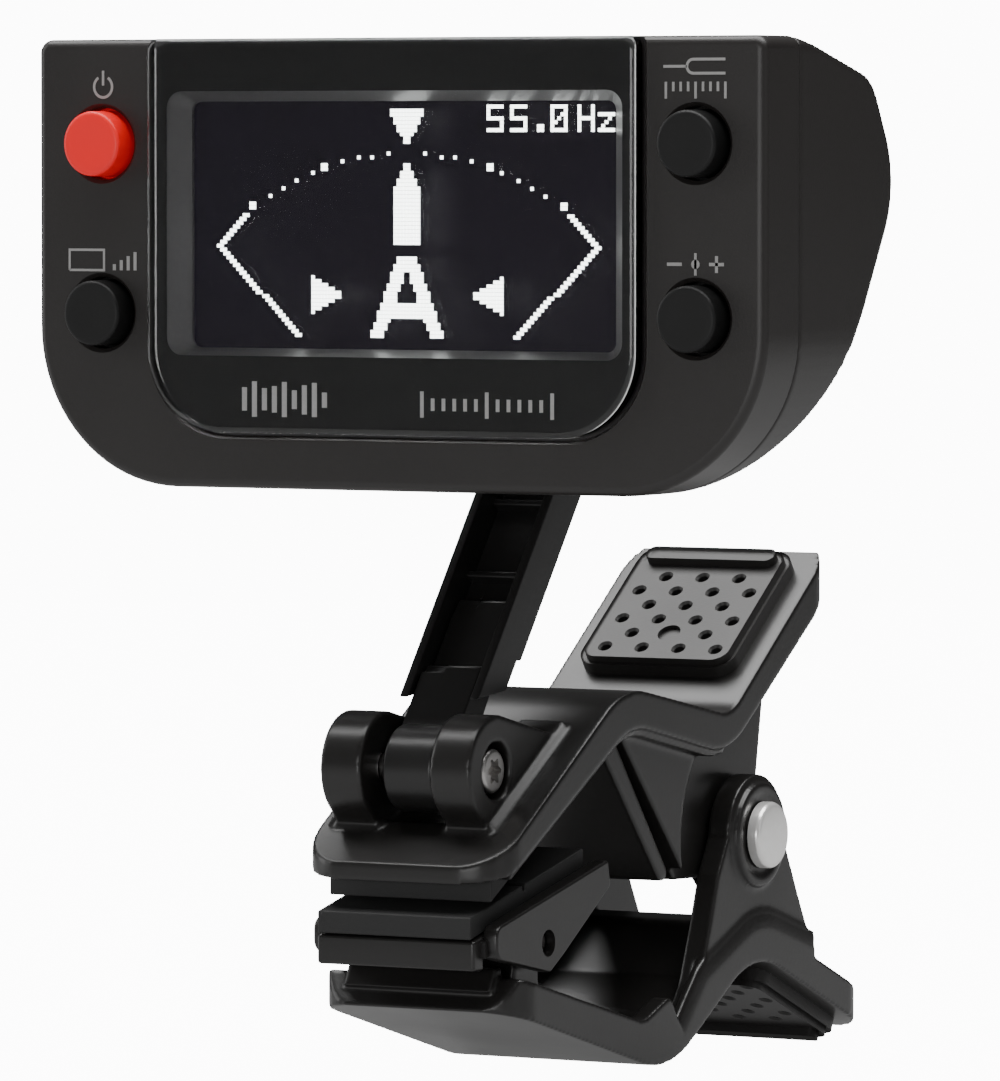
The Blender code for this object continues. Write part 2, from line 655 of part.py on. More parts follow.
def arm_screw():
    """The pan-head screw through the clevis, sunk in the right ear."""
    head = EAR_OUTER - 1.7
    end = -EAR_OUTER + 1.4
    profile = [(end, 0), (end, 0.8), (end + 0.4, 1.0), (head, 1.0), (head, 1.65), (head + 0.9, 1.65),
               (head + 1.2, 1.3), (head + 1.2, 0)]
    screw = turned("arm_screw", profile, (0, KNUCKLE_Y, KNUCKLE_Z), "X")
    star = []
    for point in range(12):
        radius = 0.95 if point % 2 == 0 else 0.6
        angle = 2 * math.pi * point / 12
        star.append((KNUCKLE_Y + radius * math.cos(angle), KNUCKLE_Z + radius * math.sin(angle)))
    cut(screw, prism("star_socket", star, "X", head + 0.5, head + 3))
    return dress(screw, "steel", smooth=True)


# ---------------------------------------------------------------- clip

def plan_view(front, back, front_radius, back_radius, half=CLIP_HALF):
    """A tall solid with a lever's outline as seen from above."""
    outline = [(-half, front, front_radius), (half, front, front_radius),
               (half, back, back_radius), (-half, back, back_radius)]
    return prism("plan_view", rounded(outline), "Z", -30, 40)


def crease_z(y):
    """Height of the upper jaw's outer line before its first bend."""
    (y0, z0, _), (y1, z1, _) = UPPER_TOP[:2]
    return z0 + (z1 - z0) * (y - y0) / (y1 - y0)


def clevis_ear(side):
    """One ear of the clevis on the upper jaw, with its foot."""
    y, z, r = KNUCKLE_Y, KNUCKLE_Z, EAR_RADIUS
    outline = arc(y, z, r, 80, 224, 12)
    outline += [(-3.6, crease_z(-3.6) - 0.8), (6.4, crease_z(6.4) - 0.8), (6.4, 8.3)]
    ear = side_slab("ear", outline, EAR_INNER, EAR_OUTER, side, HEAD_X)
    foot = [(-4.3, crease_z(-4.3) - 0.8), (6.9, crease_z(6.9) - 0.8), (6.9, crease_z(6.9) + 0.5),
            (-4.3, crease_z(-4.3) + 0.5)]
    return join(ear, side_slab("foot", foot, EAR_INNER - 0.5, EAR_OUTER + 0.6, side, HEAD_X))


def web_outline():
    """The upper lever's web in the side view."""
    return rounded([(11.2, 9.9, 0.0), (23.9, -3.7, 0.5), (29.6, -3.9, 2.0), (PIVOT_Y, PIVOT_Z - 4.4, 3.0),
                    (PIVOT_Y + 3.9, PIVOT_Z - 1.6, 3.0),
                    (PIVOT_Y + 4.2, PIVOT_Z + 4.3, 1.0), (39.4, 14.8, 0.0),
                    (35.0, 12.2, 0.0), (28.4, 8.0, 0.0), (20.4, 9.4, 0.0), (14.0, 10.4, 0.0)])


def upper_lever():
    """The upper lever: sloping jaw, raised back and finger plate, with webs down to the pivot."""
    top = rounded(UPPER_TOP, 5, closed=False)
    low = rounded(UPPER_LOW, 5, closed=False)
    lever = prism("upper_lever", top + low[::-1], "X", -CLIP_HALF, CLIP_HALF)
    ceiling = offset_path(top, -1.7)
    ceiling = [(-6.2, ceiling[0][1] + 1.1)] + ceiling[1:-1] + [(42.4, ceiling[-1][1] - 0.8)]
    pocket = ceiling + [(42.4, 12.0), (30.0, 2.0), (12.0, 2.0), (-6.2, -6.0)]
    cut(lever, prism("pocket", pocket, "X", -CLIP_HALF + CLIP_WALL, CLIP_HALF - CLIP_WALL))
    keep_inside(lever, plan_view(-7.9, 44.4, 3.6, 3.4))
    for side in (-1, 1):
        join(lever, clevis_ear(side))
        web = side_slab("web", web_outline(), WEB_INNER, WEB_FACE, side)
        join(lever, cut(web, side_slab("clearance", cheek_sweep(), WEB_OUTER, CLIP_HALF + 1, side)))
    diaphragm = rounded([(8.4, 9.0, 0.0), (19.3, -3.4, 0.6), (21.2, -3.5, 0.6), (10.8, 9.4, 0.0)])
    join(lever, prism("diaphragm", diaphragm, "X", -WEB_FACE, WEB_FACE))
    knuckle = (HEAD_X, KNUCKLE_Y, KNUCKLE_Z)
    cut(lever, rod("knuckle_bore", SCREW_BORE, knuckle, "X", -EAR_OUTER + 1.0, 8))
    cut(lever, rod("head_sink", 2.2, knuckle, "X", EAR_OUTER - 2.0, 8))
    cut(lever, rod("pivot_bore", PIVOT_PIN + GAP, (0, PIVOT_Y, PIVOT_Z), "X", -12, 12))
    cut(lever, rod("knuckle_room", 4.0, knuckle, "X", -EAR_INNER, EAR_INNER))
    return dress(lever, "charcoal_abs", smooth=True)


def cheek_sweep():
    """The recess round the pivot that keeps the webs clear of the lower lever's ears."""
    return circle(PIVOT_Y, PIVOT_Z, 10.4, 48)


def grip_z(y):
    """Height of the upper grip face, a plane through the origin."""
    return y * math.tan(math.radians(GRIP_SLOPE))


def grip_groove(split, low, high):
    """The cutter for the groove in front of a grip's rear land."""
    return block("groove", (-CLIP_HALF, split - GRIP_GROOVE, low), (CLIP_HALF, split, high))


def upper_grip_pad():
    """The rubber pad under the upper jaw. Its flat lower face is the grip, in a front and a rear land."""
    front, back = -5.7, 8.6
    roof = 1.7 / math.cos(math.radians(32)) + GAP
    outline = [(front, grip_z(front)), (back, grip_z(back)), (back, crease_z(back) - roof - 0.7),
               (front, crease_z(front) - roof)]
    half = CLIP_HALF - CLIP_WALL - GAP
    pad = prism("upper_grip_pad", outline, "X", -half, half)
    z = grip_z(GRIP_SPLIT)
    cut(pad, grip_groove(GRIP_SPLIT, z - 1, z + 0.4))
    return dress(pad, "black_rubber")


def finger_pad(name, lever_line, span, outward):
    """A raised soft pad on a handle's outer face, the last stretch of its lever's outer line."""
    start, end = Vector(lever_line[2][:2]), Vector(lever_line[3][:2])
    first, last = span
    along = (end - start).normalized()
    out = Vector((-along.y, along.x)) * outward
    low, high = GAP, GAP + 0.9
    corners = [start + along * first + out * low, start + along * last + out * low,
               start + along * last + out * high, start + along * first + out * high]
    outline = [tuple(corner) for corner in corners]
    pad = prism(name, outline, "X", -FINGER_HALF, FINGER_HALF)
    front, back = min(y for y, z in outline), max(y for y, z in outline)
    return dress(keep_inside(pad, plan_view(front, back, 1.6, 1.6, FINGER_HALF)), "charcoal_abs", smooth=True)


def cheek_outline():
    """One ear of the lower lever in the side view."""
    head = arc(PIVOT_Y, PIVOT_Z, 4.6, -8, 178, 15)
    foot = [(26.9, -3.5), (25.6, -7.2), (23.9, -11.4), (22.6, -13.2), (30.0, -11.0),
            (33.4, -9.0), (42.2, -11.6), (42.3, -9.7), (40.2, -6.0)]
    return head + foot


def lower_lever():
    """The lower lever: a trough-shaped jaw, a neck and a finger plate, with ears up to the pivot."""
    low = rounded(LOWER_LOW, 6, closed=False)
    wall = rounded(JAW_WALL, 4, closed=False)
    band = rounded(LOWER_BAND, 5, closed=False)
    handle = rounded(LOWER_HANDLE, 2, closed=False)
    side = low + handle[::-1] + band[::-1] + wall[::-1]
    lever = prism("lower_lever", side, "X", -CLIP_HALF, CLIP_HALF)
    floor = offset_path(low, 1.8)
    floor = [(TROUGH_FRONT, floor[0][1] - 0.6)] + floor[1:-1] + [(TROUGH_BACK, -11.9)]
    pocket = floor + [(TROUGH_BACK, 0.0), (TROUGH_FRONT, 0.0)]
    cut(lever, prism("trough", pocket, "X", -CLIP_HALF + CLIP_WALL, CLIP_HALF - CLIP_WALL))
    keep_inside(lever, plan_view(-5.4, 51.5, 3.4, 3.4))
    for side in (-1, 1):
        join(lever, side_slab("cheek", cheek_outline(), CHEEK_INNER, CHEEK_OUTER, side))
        ring = circle(PIVOT_Y, PIVOT_Z, 4.0, 32)
        join(lever, side_slab("ring", ring, CHEEK_INNER + 0.5, RING_FACE, side))
        lug = [(ROCKER_Y - 2.4, -11.6)] + arc(ROCKER_Y, ROCKER_Z, LUG_RADIUS, 190, -10, 12)
        lug.append((ROCKER_Y + 2.4, -12.6))
        join(lever, side_slab("lug", lug, LUG_INNER, LUG_OUTER, side))
    sill = [(-5.0, -9.8), (-4.0, -8.1), (TROUGH_FRONT, -8.1), (TROUGH_FRONT, -9.8)]
    join(lever, prism("sill", sill, "X", -FLANGE_INNER + GAP, FLANGE_INNER - GAP))
    cut(lever, rod("pivot_bore", PIVOT_PIN + GAP, (0, PIVOT_Y, PIVOT_Z), "X", -12, 12))
    cut(lever, rod("rocker_bore", ROCKER_PIN + GAP, (0, ROCKER_Y, ROCKER_Z), "X", -7.2, 7.2, 20))
    return dress(lever, "charcoal_abs", smooth=True)


def pivot_pin():
    """The steel pin of the clip's main pivot, riveted over at both ends."""
    end = RING_FACE + GAP
    half = [(end + 0.8, 0), (end + 0.8, PIN_HEAD - 0.35), (end + 0.4, PIN_HEAD), (end, PIN_HEAD),
            (end, PIVOT_PIN)]
    profile = [(-along, radius) for along, radius in half] + half[::-1]
    return dress(turned("pivot_pin", profile, (0, PIVOT_Y, PIVOT_Z), "X", 32), "steel", smooth=True)


def torsion_spring():
    """The clip's spring: a coil round the pivot pin with a leg to each handle."""
    radius, wire = 2.7, 0.45
    turns, steps = 4, 12
    half = 3.2
    upper_leg, lower_leg = math.radians(62), math.radians(-42)
    start = upper_leg + math.pi / 2
    path = [(-half, PIVOT_Y + radius * math.cos(start) + 11.5 * math.cos(upper_leg),
             PIVOT_Z + radius * math.sin(start) + 11.5 * math.sin(upper_leg))]
    sweep = 2 * math.pi * turns + (lower_leg - math.pi / 2 - start) % (2 * math.pi)
    count = turns * steps + 8
    for step in range(count + 1):
        angle = start + sweep * step / count
        x = -half + 2 * half * step / count
        path.append((x, PIVOT_Y + radius * math.cos(angle), PIVOT_Z + radius * math.sin(angle)))
    end = path[-1]
    path.append((half, end[1] + 8.0 * math.cos(lower_leg), end[2] + 8.0 * math.sin(lower_leg)))
    return dress(tube_along("torsion_spring", path, wire, 6), "spring_steel", smooth=True)


def rocker_z(y):
    """Height of the rocker's grip face."""
    return -4.1 + (y + 8.1) * math.tan(math.radians(ROCKER_SLOPE))


def rocker_jaw():
    """The self-aligning jaw: a bed for its rubber pad with a side plate at each end."""
    seat = 1.8
    bed = [(-7.9, rocker_z(-7.9) - seat), (8.6, rocker_z(8.6) - seat), (8.6, rocker_z(8.6) - seat - 0.85),
           (-6.4, rocker_z(-6.4) - seat - 0.85), (-6.4, -7.6), (-7.9, -7.5)]
    jaw = prism("rocker_jaw", bed, "X", -BED_HALF, BED_HALF)
    link = [(-5.2, rocker_z(-5.2) - seat - 0.2), (8.3, rocker_z(8.3) - seat - 0.2),
            (8.3, rocker_z(8.3) - seat - 0.7), (-5.2, rocker_z(-5.2) - seat - 0.7)]
    join(jaw, prism("link", link, "X", -FLANGE_INNER - 0.4, FLANGE_INNER + 0.4))
    apron = [(-6.2, rocker_z(-6.2) - seat - 0.3), (-1.8, rocker_z(-1.8) - seat - 0.3),
             (-1.8, rocker_z(-1.8) - seat - 1.5), (-6.2, rocker_z(-6.2) - seat - 1.5)]
    join(jaw, prism("apron", apron, "X", -FLANGE_INNER - 0.5, FLANGE_INNER + 0.5))
    flange = [(-6.3, -4.9, 0.4), (10.4, -1.1, 0.3), (10.8, -3.1, 0.5), (3.7, -7.6, 1.0), (1.6, -8.8, 0.6),
              (-6.3, -7.2, 0.5)]
    for side in (-1, 1):
        join(jaw, side_slab("flange", rounded(flange, 3), FLANGE_INNER, FLANGE_OUTER, side))
    cut(jaw, rod("rocker_bore", ROCKER_PIN + GAP, (0, ROCKER_Y, ROCKER_Z), "X", -10, 10, 20))
    return dress(jaw, "charcoal_abs")


def rocker_grip_pad():
    """The rubber pad on the rocker. Its flat upper face is the second grip, in two lands."""
    thick = 1.8 - GAP
    outline = [(-8.1, rocker_z(-8.1)), (8.9, rocker_z(8.9)), (8.9, rocker_z(8.9) - thick),
               (-8.1, rocker_z(-8.1) - thick)]
    pad = prism("rocker_grip_pad", outline, "X", -BED_HALF, BED_HALF)
    z = rocker_z(ROCKER_SPLIT)
    cut(pad, grip_groove(ROCKER_SPLIT, z - 0.5, z + 1))
    return dress(pad, "black_rubber")


def rocker_pin():
    """The pin that the rocker tilts on."""
    pin = rod("rocker_pin", ROCKER_PIN, (0, ROCKER_Y, ROCKER_Z), "X", -7.0, 7.0, 16)
    return dress(pin, "steel", smooth=True)


# ---------------------------------------------------------------- assembly

def build():
    for old in list(bpy.data.objects):
        bpy.data.objects.remove(old)
    head = [front_case(), rear_cover(), display_lens(), display_bezel(), oled_module(), circuit_board(),
            battery_cell(), contact_plate(), contact_spring(), piezo_sensor(),
            case_screw("case_screw_left", -SCREW_X), case_screw("case_screw_right", SCREW_X)]
    places = {
        "power": (-BUTTON_X, BUTTON_HIGH, "red_rubber"),
        "display": (-BUTTON_X, BUTTON_LOW, "black_rubber"),
        "tuning": (BUTTON_X, BUTTON_HIGH, "black_rubber"),
        "calibration": (BUTTON_X, BUTTON_LOW, "black_rubber"),
    }
    head_pivot = hang(shift(head, HEAD_X), "head_swivel_axis", (HEAD_X, BOSS_BACK, SWIVEL_Z))
    for name, (x, z, finish) in places.items():
        cap = button(name + "_button", x, z, finish)
        cap_axis = hang(shift([cap], HEAD_X), name + "_axis", (HEAD_X + x, CASE_FRONT, z))
        switch = tact_switch(name + "_switch", x, z)
        switch_seat = hang(shift([switch], HEAD_X), name + "_seat", (HEAD_X + x, BOARD_FRONT - GAP, z))
        for child in (cap_axis, switch_seat):
            child.parent = head_pivot
            child.matrix_parent_inverse = Matrix.Translation(head_pivot.location).inverted()
    hang(shift([battery_door()], HEAD_X), "battery_door_axis", (HEAD_X, CELL_Y, CELL_Z))
    yoke = [swivel_yoke(), tilt_pin(), swivel_screw(), swivel_washer()]
    hang(shift(yoke, HEAD_X), "head_tilt_axis", (HEAD_X, TILT_Y, TILT_Z))
    hang(shift([arm_channel(), arm_core()], HEAD_X), "arm_hinge_axis", (HEAD_X, KNUCKLE_Y, KNUCKLE_Z))
    upper = [upper_lever(), upper_grip_pad(), finger_pad("upper_finger_pad", UPPER_TOP, UPPER_PAD, 1)]
    hang(upper + shift([arm_screw()], HEAD_X), "clip_frame", (0, 0, 0))
    lower = [lower_lever(), finger_pad("lower_finger_pad", LOWER_LOW, LOWER_PAD, -1)]
    hang(lower + [pivot_pin(), torsion_spring(), rocker_pin()], "jaw_axis", (0, PIVOT_Y, PIVOT_Z))
    hang([rocker_jaw(), rocker_grip_pad()], "rocker_axis", (0, ROCKER_Y, ROCKER_Z))


build()
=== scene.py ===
"""The clip-on tuner's looks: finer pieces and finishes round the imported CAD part, with light and camera.

Lengths are in millimetres in the CAD part's frame: the origin is a point on the upper jaw's grip face,
+X runs to the right across the clip, +Y back from the display to the finger grips, and +Z up.
"""

import math

import bmesh
import bpy
from mathutils import Matrix, Vector


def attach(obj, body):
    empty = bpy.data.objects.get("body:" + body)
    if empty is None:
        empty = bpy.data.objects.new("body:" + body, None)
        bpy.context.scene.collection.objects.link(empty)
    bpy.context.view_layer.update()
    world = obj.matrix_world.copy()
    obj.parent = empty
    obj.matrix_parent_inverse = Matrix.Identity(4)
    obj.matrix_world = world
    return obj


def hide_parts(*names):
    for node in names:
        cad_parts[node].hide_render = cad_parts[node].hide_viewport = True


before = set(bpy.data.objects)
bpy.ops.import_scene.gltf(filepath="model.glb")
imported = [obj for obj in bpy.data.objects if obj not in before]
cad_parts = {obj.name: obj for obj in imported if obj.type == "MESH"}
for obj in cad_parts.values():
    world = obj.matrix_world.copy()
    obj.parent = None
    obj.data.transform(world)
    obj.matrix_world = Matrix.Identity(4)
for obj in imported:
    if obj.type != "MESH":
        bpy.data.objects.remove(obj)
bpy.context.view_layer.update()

MM = 0.001
GAP = 0.3

# Display unit
HEAD_X = -0.65           # the display unit and its arm stand this far to the left of the clip
CASE_WIDTH = 61.0
CASE_HEIGHT = 33.0
CASE_TOP = 59.6
CASE_FRONT = -7.0
SEAM = -1.7              # Y of the parting line between the two shells
SEAM_GAP = 0.12
CORNER_LOW = 11.8
CORNER_TOP = 1.0
WALL = 1.5
LENS_HALF = 20.5
LENS_CORNER = 6.3
LENS_LOW = CASE_TOP - 28.9
LENS_FACE = CASE_FRONT - 1.0
LENS_BACK = CASE_FRONT + 0.2
SCREEN_HALF = 17.8
SCREEN_TOP = CASE_TOP - 4.6
SCREEN_LOW = CASE_TOP - 22.7
PANEL_FACE = CASE_FRONT + 2.0
BUTTON_X = 24.9
BUTTON_HIGH = CASE_TOP - 7.7
BUTTON_LOW = CASE_TOP - 20.2
BUTTON_RADIUS = 2.45
BUTTON_PROUD = 1.6
BUTTON_PLAY = 0.22       # all round a cap in its bore
DOOR_REACH = 22.0
SCREW_X = 21.0
SCREW_Z = CASE_TOP - 29.0

# Arm and hinges
KNUCKLE_Y, KNUCKLE_Z = -2.8, 6.2
KNUCKLE = (0, KNUCKLE_Y, KNUCKLE_Z)
ARM_LEAN = math.radians(37.8)
ARM_LENGTH = 33.0
ARM_HALF = 3.35
ARM_FRONT = 1.2
ARM_BACK = 2.5
ARM_WALL = 0.75          # of the channel's sides
TILT_Y = KNUCKLE_Y + ARM_LENGTH * math.sin(ARM_LEAN)
TILT_Z = KNUCKLE_Z + ARM_LENGTH * math.cos(ARM_LEAN)
TILT = (0, TILT_Y, TILT_Z)
SWIVEL_Z = CASE_TOP - 25.5
BOSS_BACK = CASE_FRONT + 16.6
DISC_THICK = 2.2
DISC_RADIUS = 5.4
YOKE_OUTER = ARM_HALF + GAP + 1.8

# Clip
CLIP_HALF = 8.5
CLIP_WALL = 1.5
PIVOT_Y, PIVOT_Z = 33.2, -0.8
PIVOT = (0, PIVOT_Y, PIVOT_Z)
GRIP_SLOPE = math.radians(29.0)
EAR_INNER, EAR_OUTER, EAR_RADIUS = 2.9, 6.3, 4.1
WEB_INNER, WEB_OUTER, WEB_FACE = 4.6, 6.0, 7.3
CHEEK_INNER, CHEEK_OUTER = 6.3, 8.2
SWEEP_RADIUS = 10.4
FLANGE_INNER, FLANGE_OUTER = 6.5, 7.75
LUG_INNER, LUG_OUTER = 3.0, 5.9
BRIDGE_LOW, BRIDGE_HIGH = (-3.2, -0.2, -12.4), (3.2, 2.6, -7.2)
FLARE_INNER = 7.6
FLARE = [(0.4, 8.45), (0.8, 8.38), (1.3, 8.30)]      # (height over the band, half width there)
FINGER_HALF = 6.7
PAD_CORNER = 1.7
PAD_MIDDLE = 10.55       # of the rows of holes, along the handle from its bend
HOLE_PITCH, HOLE_ROW = 3.2, 1.72
GRIP_GROOVE = 0.4
GRIP_SPLIT = -0.6
ROCKER_SPLIT = 0.1
ROCKER_Y, ROCKER_Z = 1.2, -6.6
ROCKER = (0, ROCKER_Y, ROCKER_Z)
ROCKER_SLOPE = math.radians(12.9)

# Radii of the holes that the pins and screws stand in
PIVOT_BORE = 1.7
TILT_BORE = 1.4
KNUCKLE_BORE = 1.2
ROCKER_BORE = 1.0
SWIVEL_BORE = 1.8

# The stage and the camera
FLOOR_Z = -18.2
FLOOR_RADIUS = 700
CAMERA_TARGET = (3.775, 1.0, 22.844)
CAMERA_AZIMUTH = math.radians(29.353)
CAMERA_ELEVATION = math.radians(2.579)
CAMERA_DISTANCE = 637.674
CAMERA_LENS = 289.73

# The levers' outer lines in the side view: (Y, Z, corner radius), from the jaw tip to the handle tip
UPPER_TOP = [(-7.9, -0.5, 0.8), (11.65, 11.75, 9.0), (28.4, 8.66, 4.0), (44.4, 20.4, 0.8)]
UPPER_LOW = [(-7.9, -1.8, 0.0), (-5.4, -1.2, 2.0), (12.8, 8.76, 7.0), (28.1, 5.66, 7.5), (45.4, 17.6, 0.8)]
LOWER_LOW = [(-5.4, -11.2, 1.0), (18.5, -17.73, 10.0), (32.6, -9.64, 9.0), (51.3, -17.2, 0.8)]
JAW_WALL = [(-3.6, -8.8, 0.6), (14.6, -13.5, 3.0), (18.8, -11.9, 0.8), (20.6, -14.6, 0.0)]
LOWER_BAND = [(20.9, -14.9, 0.0), (24.6, -11.1, 3.0), (33.4, -7.5, 7.0), (42.4, -10.2, 0.0)]
LOWER_HANDLE = [(42.4, -10.9, 0.0), (50.4, -14.1, 1.0)]
SADDLE = [(25.2, -12.4, 0.0), (29.6, -7.3, 2.0), (33.9, -7.1, 2.0), (37.2, -10.6, 0.0)]


# Outlines

def rounded(corners, steps=10, closed=True):
    """Points of a polyline whose corners (u, v, radius) are turned into arcs."""
    points = []
    count = len(corners)
    for index, (u, v, radius) in enumerate(corners):
        here = Vector((u, v))
        inside = closed or 0 < index < count - 1
        if radius == 0 or not inside:
            points.append((u, v))
            continue
        before = (Vector(corners[index - 1][:2]) - here).normalized()
        after = (Vector(corners[(index + 1) % count][:2]) - here).normalized()
        half = before.angle(after) / 2
        first = here + before * radius / math.tan(half)
        last = here + after * radius / math.tan(half)
        centre = here + (before + after).normalized() * radius / math.sin(half)
        sweep = -math.copysign(math.pi - 2 * half, (first - centre).angle_signed(last - centre))
        for step in range(steps + 1):
            point = centre + Matrix.Rotation(sweep * step / steps, 2) @ (first - centre)
            points.append((point.x, point.y))
    return points


def offset_path(path, distance):
    """An open polyline moved to its left by distance, with mitred corners."""
    moved = []
    for index, (u, v) in enumerate(path):
        ahead = Vector(path[min(index + 1, len(path) - 1)]) - Vector((u, v))
        behind = Vector((u, v)) - Vector(path[max(index - 1, 0)])
        ahead = behind if ahead.length == 0 else ahead
        behind = ahead if behind.length == 0 else behind
        left_ahead = Vector((-ahead.y, ahead.x)).normalized()
        left_behind = Vector((-behind.y, behind.x)).normalized()
        mitre = (left_ahead + left_behind).normalized()
        length = distance / max(mitre.dot(left_ahead), 0.5)
        moved.append((u + mitre.x * length, v + mitre.y * length))
    return moved


def arc(u, v, radius, start, stop, steps):
    """Points of an arc between two angles in degrees."""
    angles = [math.radians(start + (stop - start) * step / steps) for step in range(steps + 1)]
    return [(u + radius * math.cos(angle), v + radius * math.sin(angle)) for angle in angles]


def circle(u, v, radius, steps=64):
    return arc(u, v, radius, 0, 360, steps)[:-1]


def rectangle(half_u, low, high, radius, steps=8):
    """A rectangle centred on u = 0, with four equal round corners."""
    return rounded([(-half_u, high, radius), (-half_u, low, radius),
                    (half_u, low, radius), (half_u, high, radius)], steps)


def case_outline(inset):
    """The housing's front view, set in from its outside by inset."""
    half = CASE_WIDTH / 2 - inset
    top = CASE_TOP - inset
    low = CASE_TOP - CASE_HEIGHT + inset
    top_radius = max(CORNER_TOP - inset, 0.2)
    low_radius = CORNER_LOW - inset
    return rounded([(-half, top, top_radius), (-half, low, low_radius),
                    (half, low, low_radius), (half, top, top_radius)], 20)


def lens_outline(inset):
    """The lens's front view, set in from its outside by inset."""
    half = LENS_HALF - inset
    top = CASE_TOP - inset
    low = LENS_LOW + inset
    foot = LENS_CORNER - inset
    return rounded([(-half, top, 0.8), (-half, low, foot), (half, low, foot), (half, top, 0.8)], 20)


def rear_line():
    """The rear cover's outer line in the side view, from the top of the parting line to its foot."""
    y, z = CASE_FRONT, CASE_TOP
    corners = [(SEAM, z, 0.0), (y + 16.9, z - 3.0, 4.0), (y + 21.1, z - 10.6, 7.0),
               (y + 15.6, z - 19.8, 9.0), (y + 6.0, z - CASE_HEIGHT, 0.0)]
    return rounded(corners, 14, closed=False)


def arm_point(along, across):
    """(Y, Z) of a point on the arm: along it from the base hinge, and across it towards its front."""
    y = KNUCKLE_Y + along * math.sin(ARM_LEAN) - across * math.cos(ARM_LEAN)
    z = KNUCKLE_Z + along * math.cos(ARM_LEAN) + across * math.sin(ARM_LEAN)
    return y, z


# Solids

def add_object(name, vertices, faces):
    """A mesh object from vertices in millimetres, with its faces turned out."""
    mesh = bpy.data.meshes.new(name)
    mesh.from_pydata([Vector(vertex) * MM for vertex in vertices], [], faces)
    body = bmesh.new()
    body.from_mesh(mesh)
    bmesh.ops.recalc_face_normals(body, faces=body.faces)
    body.to_mesh(mesh)
    body.free()
    piece = bpy.data.objects.new(name, mesh)
    bpy.context.scene.collection.objects.link(piece)
    return piece


PLACE = {
    "X": lambda u, v, w: (w, u, v),
    "Y": lambda u, v, w: (u, w, v),
    "Z": lambda u, v, w: (u, v, w),
}


def loft(name, rings, axis, open_ends=False):
    """A solid through outlines of equal length, each at its own distance along the axis."""
    place = PLACE[axis] if isinstance(axis, str) else axis
    count = len(rings[0][0])
    vertices = [place(u, v, w) for outline, w in rings for u, v in outline]
    faces = [] if open_ends else [tuple(range(count)), tuple(range(len(vertices) - count, len(vertices)))]
    for ring in range(len(rings) - 1):
        row = ring * count
        for index in range(count):
            after = (index + 1) % count
            faces.append((row + index, row + after, row + count + after, row + count + index))
    return add_object(name, vertices, faces)


def prism(name, outline, axis, low, high):
    return loft(name, [(outline, low), (outline, high)], axis)


def rimmed(name, outline_of, axis, front, back, front_rim, back_rim=0.0, steps=5):
    """A prism with round rims. outline_of(inset) gives its outline."""
    rings = []
    for rim, end, sign in ((front_rim, front, 1), (back_rim, back, -1)):
        part = [(outline_of(rim * (1 - math.sin(math.pi / 2 * step / steps))),
                 end + sign * rim * (1 - math.cos(math.pi / 2 * step / steps)))
                for step in range(steps + 1)] if rim else [(outline_of(0), end)]
        rings += part if sign == 1 else part[::-1]
    return loft(name, rings, axis)


def flank(name, outline, side, inner, outer):
    """A slab across X on one side of the middle, between two distances from it."""
    return prism(name, outline, "X", *sorted((side * inner, side * outer)))


def block(name, low, high):
    outline = [(low[0], low[1]), (high[0], low[1]), (high[0], high[1]), (low[0], high[1])]
    return prism(name, outline, "Z", low[2], high[2])


def turned(name, profile, centre, axis, steps=64):
    """A solid of revolution. The profile is (distance along the axis, radius), starting and ending at 0."""
    ring_of = []
    vertices = []
    for along, radius in profile:
        if radius == 0:
            ring_of.append([len(vertices)] * steps)
            vertices.append((along, 0.0, 0.0))
            continue
        ring_of.append([len(vertices) + step for step in range(steps)])
        for step in range(steps):
            angle = 2 * math.pi * step / steps
            vertices.append((along, radius * math.cos(angle), radius * math.sin(angle)))
    faces = []
    for ring, after_ring in zip(ring_of, ring_of[1:]):
        for step in range(steps):
            after = (step + 1) % steps
            face = tuple(dict.fromkeys([ring[step], ring[after], after_ring[after], after_ring[step]]))
            if len(face) > 2:
                faces.append(face)
    turn = {"X": Matrix.Identity(3), "Y": Matrix.Rotation(math.pi / 2, 3, "Z"),
            "Z": Matrix.Rotation(-math.pi / 2, 3, "Y")}[axis]
    return add_object(name, [turn @ Vector(vertex) + Vector(centre) for vertex in vertices], faces)


def rod(name, radius, centre, axis, low, high, steps=64, rim=0.0):
    """A cylinder between two distances along an axis, with a round rim if asked."""
    profile = [(low, 0)]
    for end, sign in ((low, 1), (high, -1)):
        bend = [(end + sign * rim * (1 - math.cos(math.pi / 2 * step / 4)),
                 radius - rim * (1 - math.sin(math.pi / 2 * step / 4))) for step in range(5)] if rim else \
            [(end, radius)]
        profile += bend if sign == 1 else bend[::-1]
    return turned(name, profile + [(high, 0)], centre, axis, steps)


def tube_along(name, path, radius, sides=16):
    """A round wire along a smooth path of points, with closed ends."""
    vertices = []
    for index, point in enumerate(path):
        ahead = Vector(path[min(index + 1, len(path) - 1)])
        forward = (ahead - Vector(path[max(index - 1, 0)])).normalized()
        side = forward.cross(Vector((1, 0, 0.02))).normalized()
        up = side.cross(forward)
        for step in range(sides):
            angle = 2 * math.pi * step / sides
            vertices.append(Vector(point) + (side * math.cos(angle) + up * math.sin(angle)) * radius)
    faces = [tuple(range(sides)), tuple(len(vertices) - 1 - step for step in range(sides))]
    for row in range(0, (len(path) - 1) * sides, sides):
        for step in range(sides):
            after = (step + 1) % sides
            faces.append((row + step, row + after, row + sides + after, row + sides + step))
    return add_object(name, vertices, faces)


def bake(piece):
    """Replaces the piece's mesh with what its modifiers make of it."""
    graph = bpy.context.evaluated_depsgraph_get()
    result = bpy.data.meshes.new_from_object(piece.evaluated_get(graph))
    piece.modifiers.clear()
    piece.data = result
    return piece


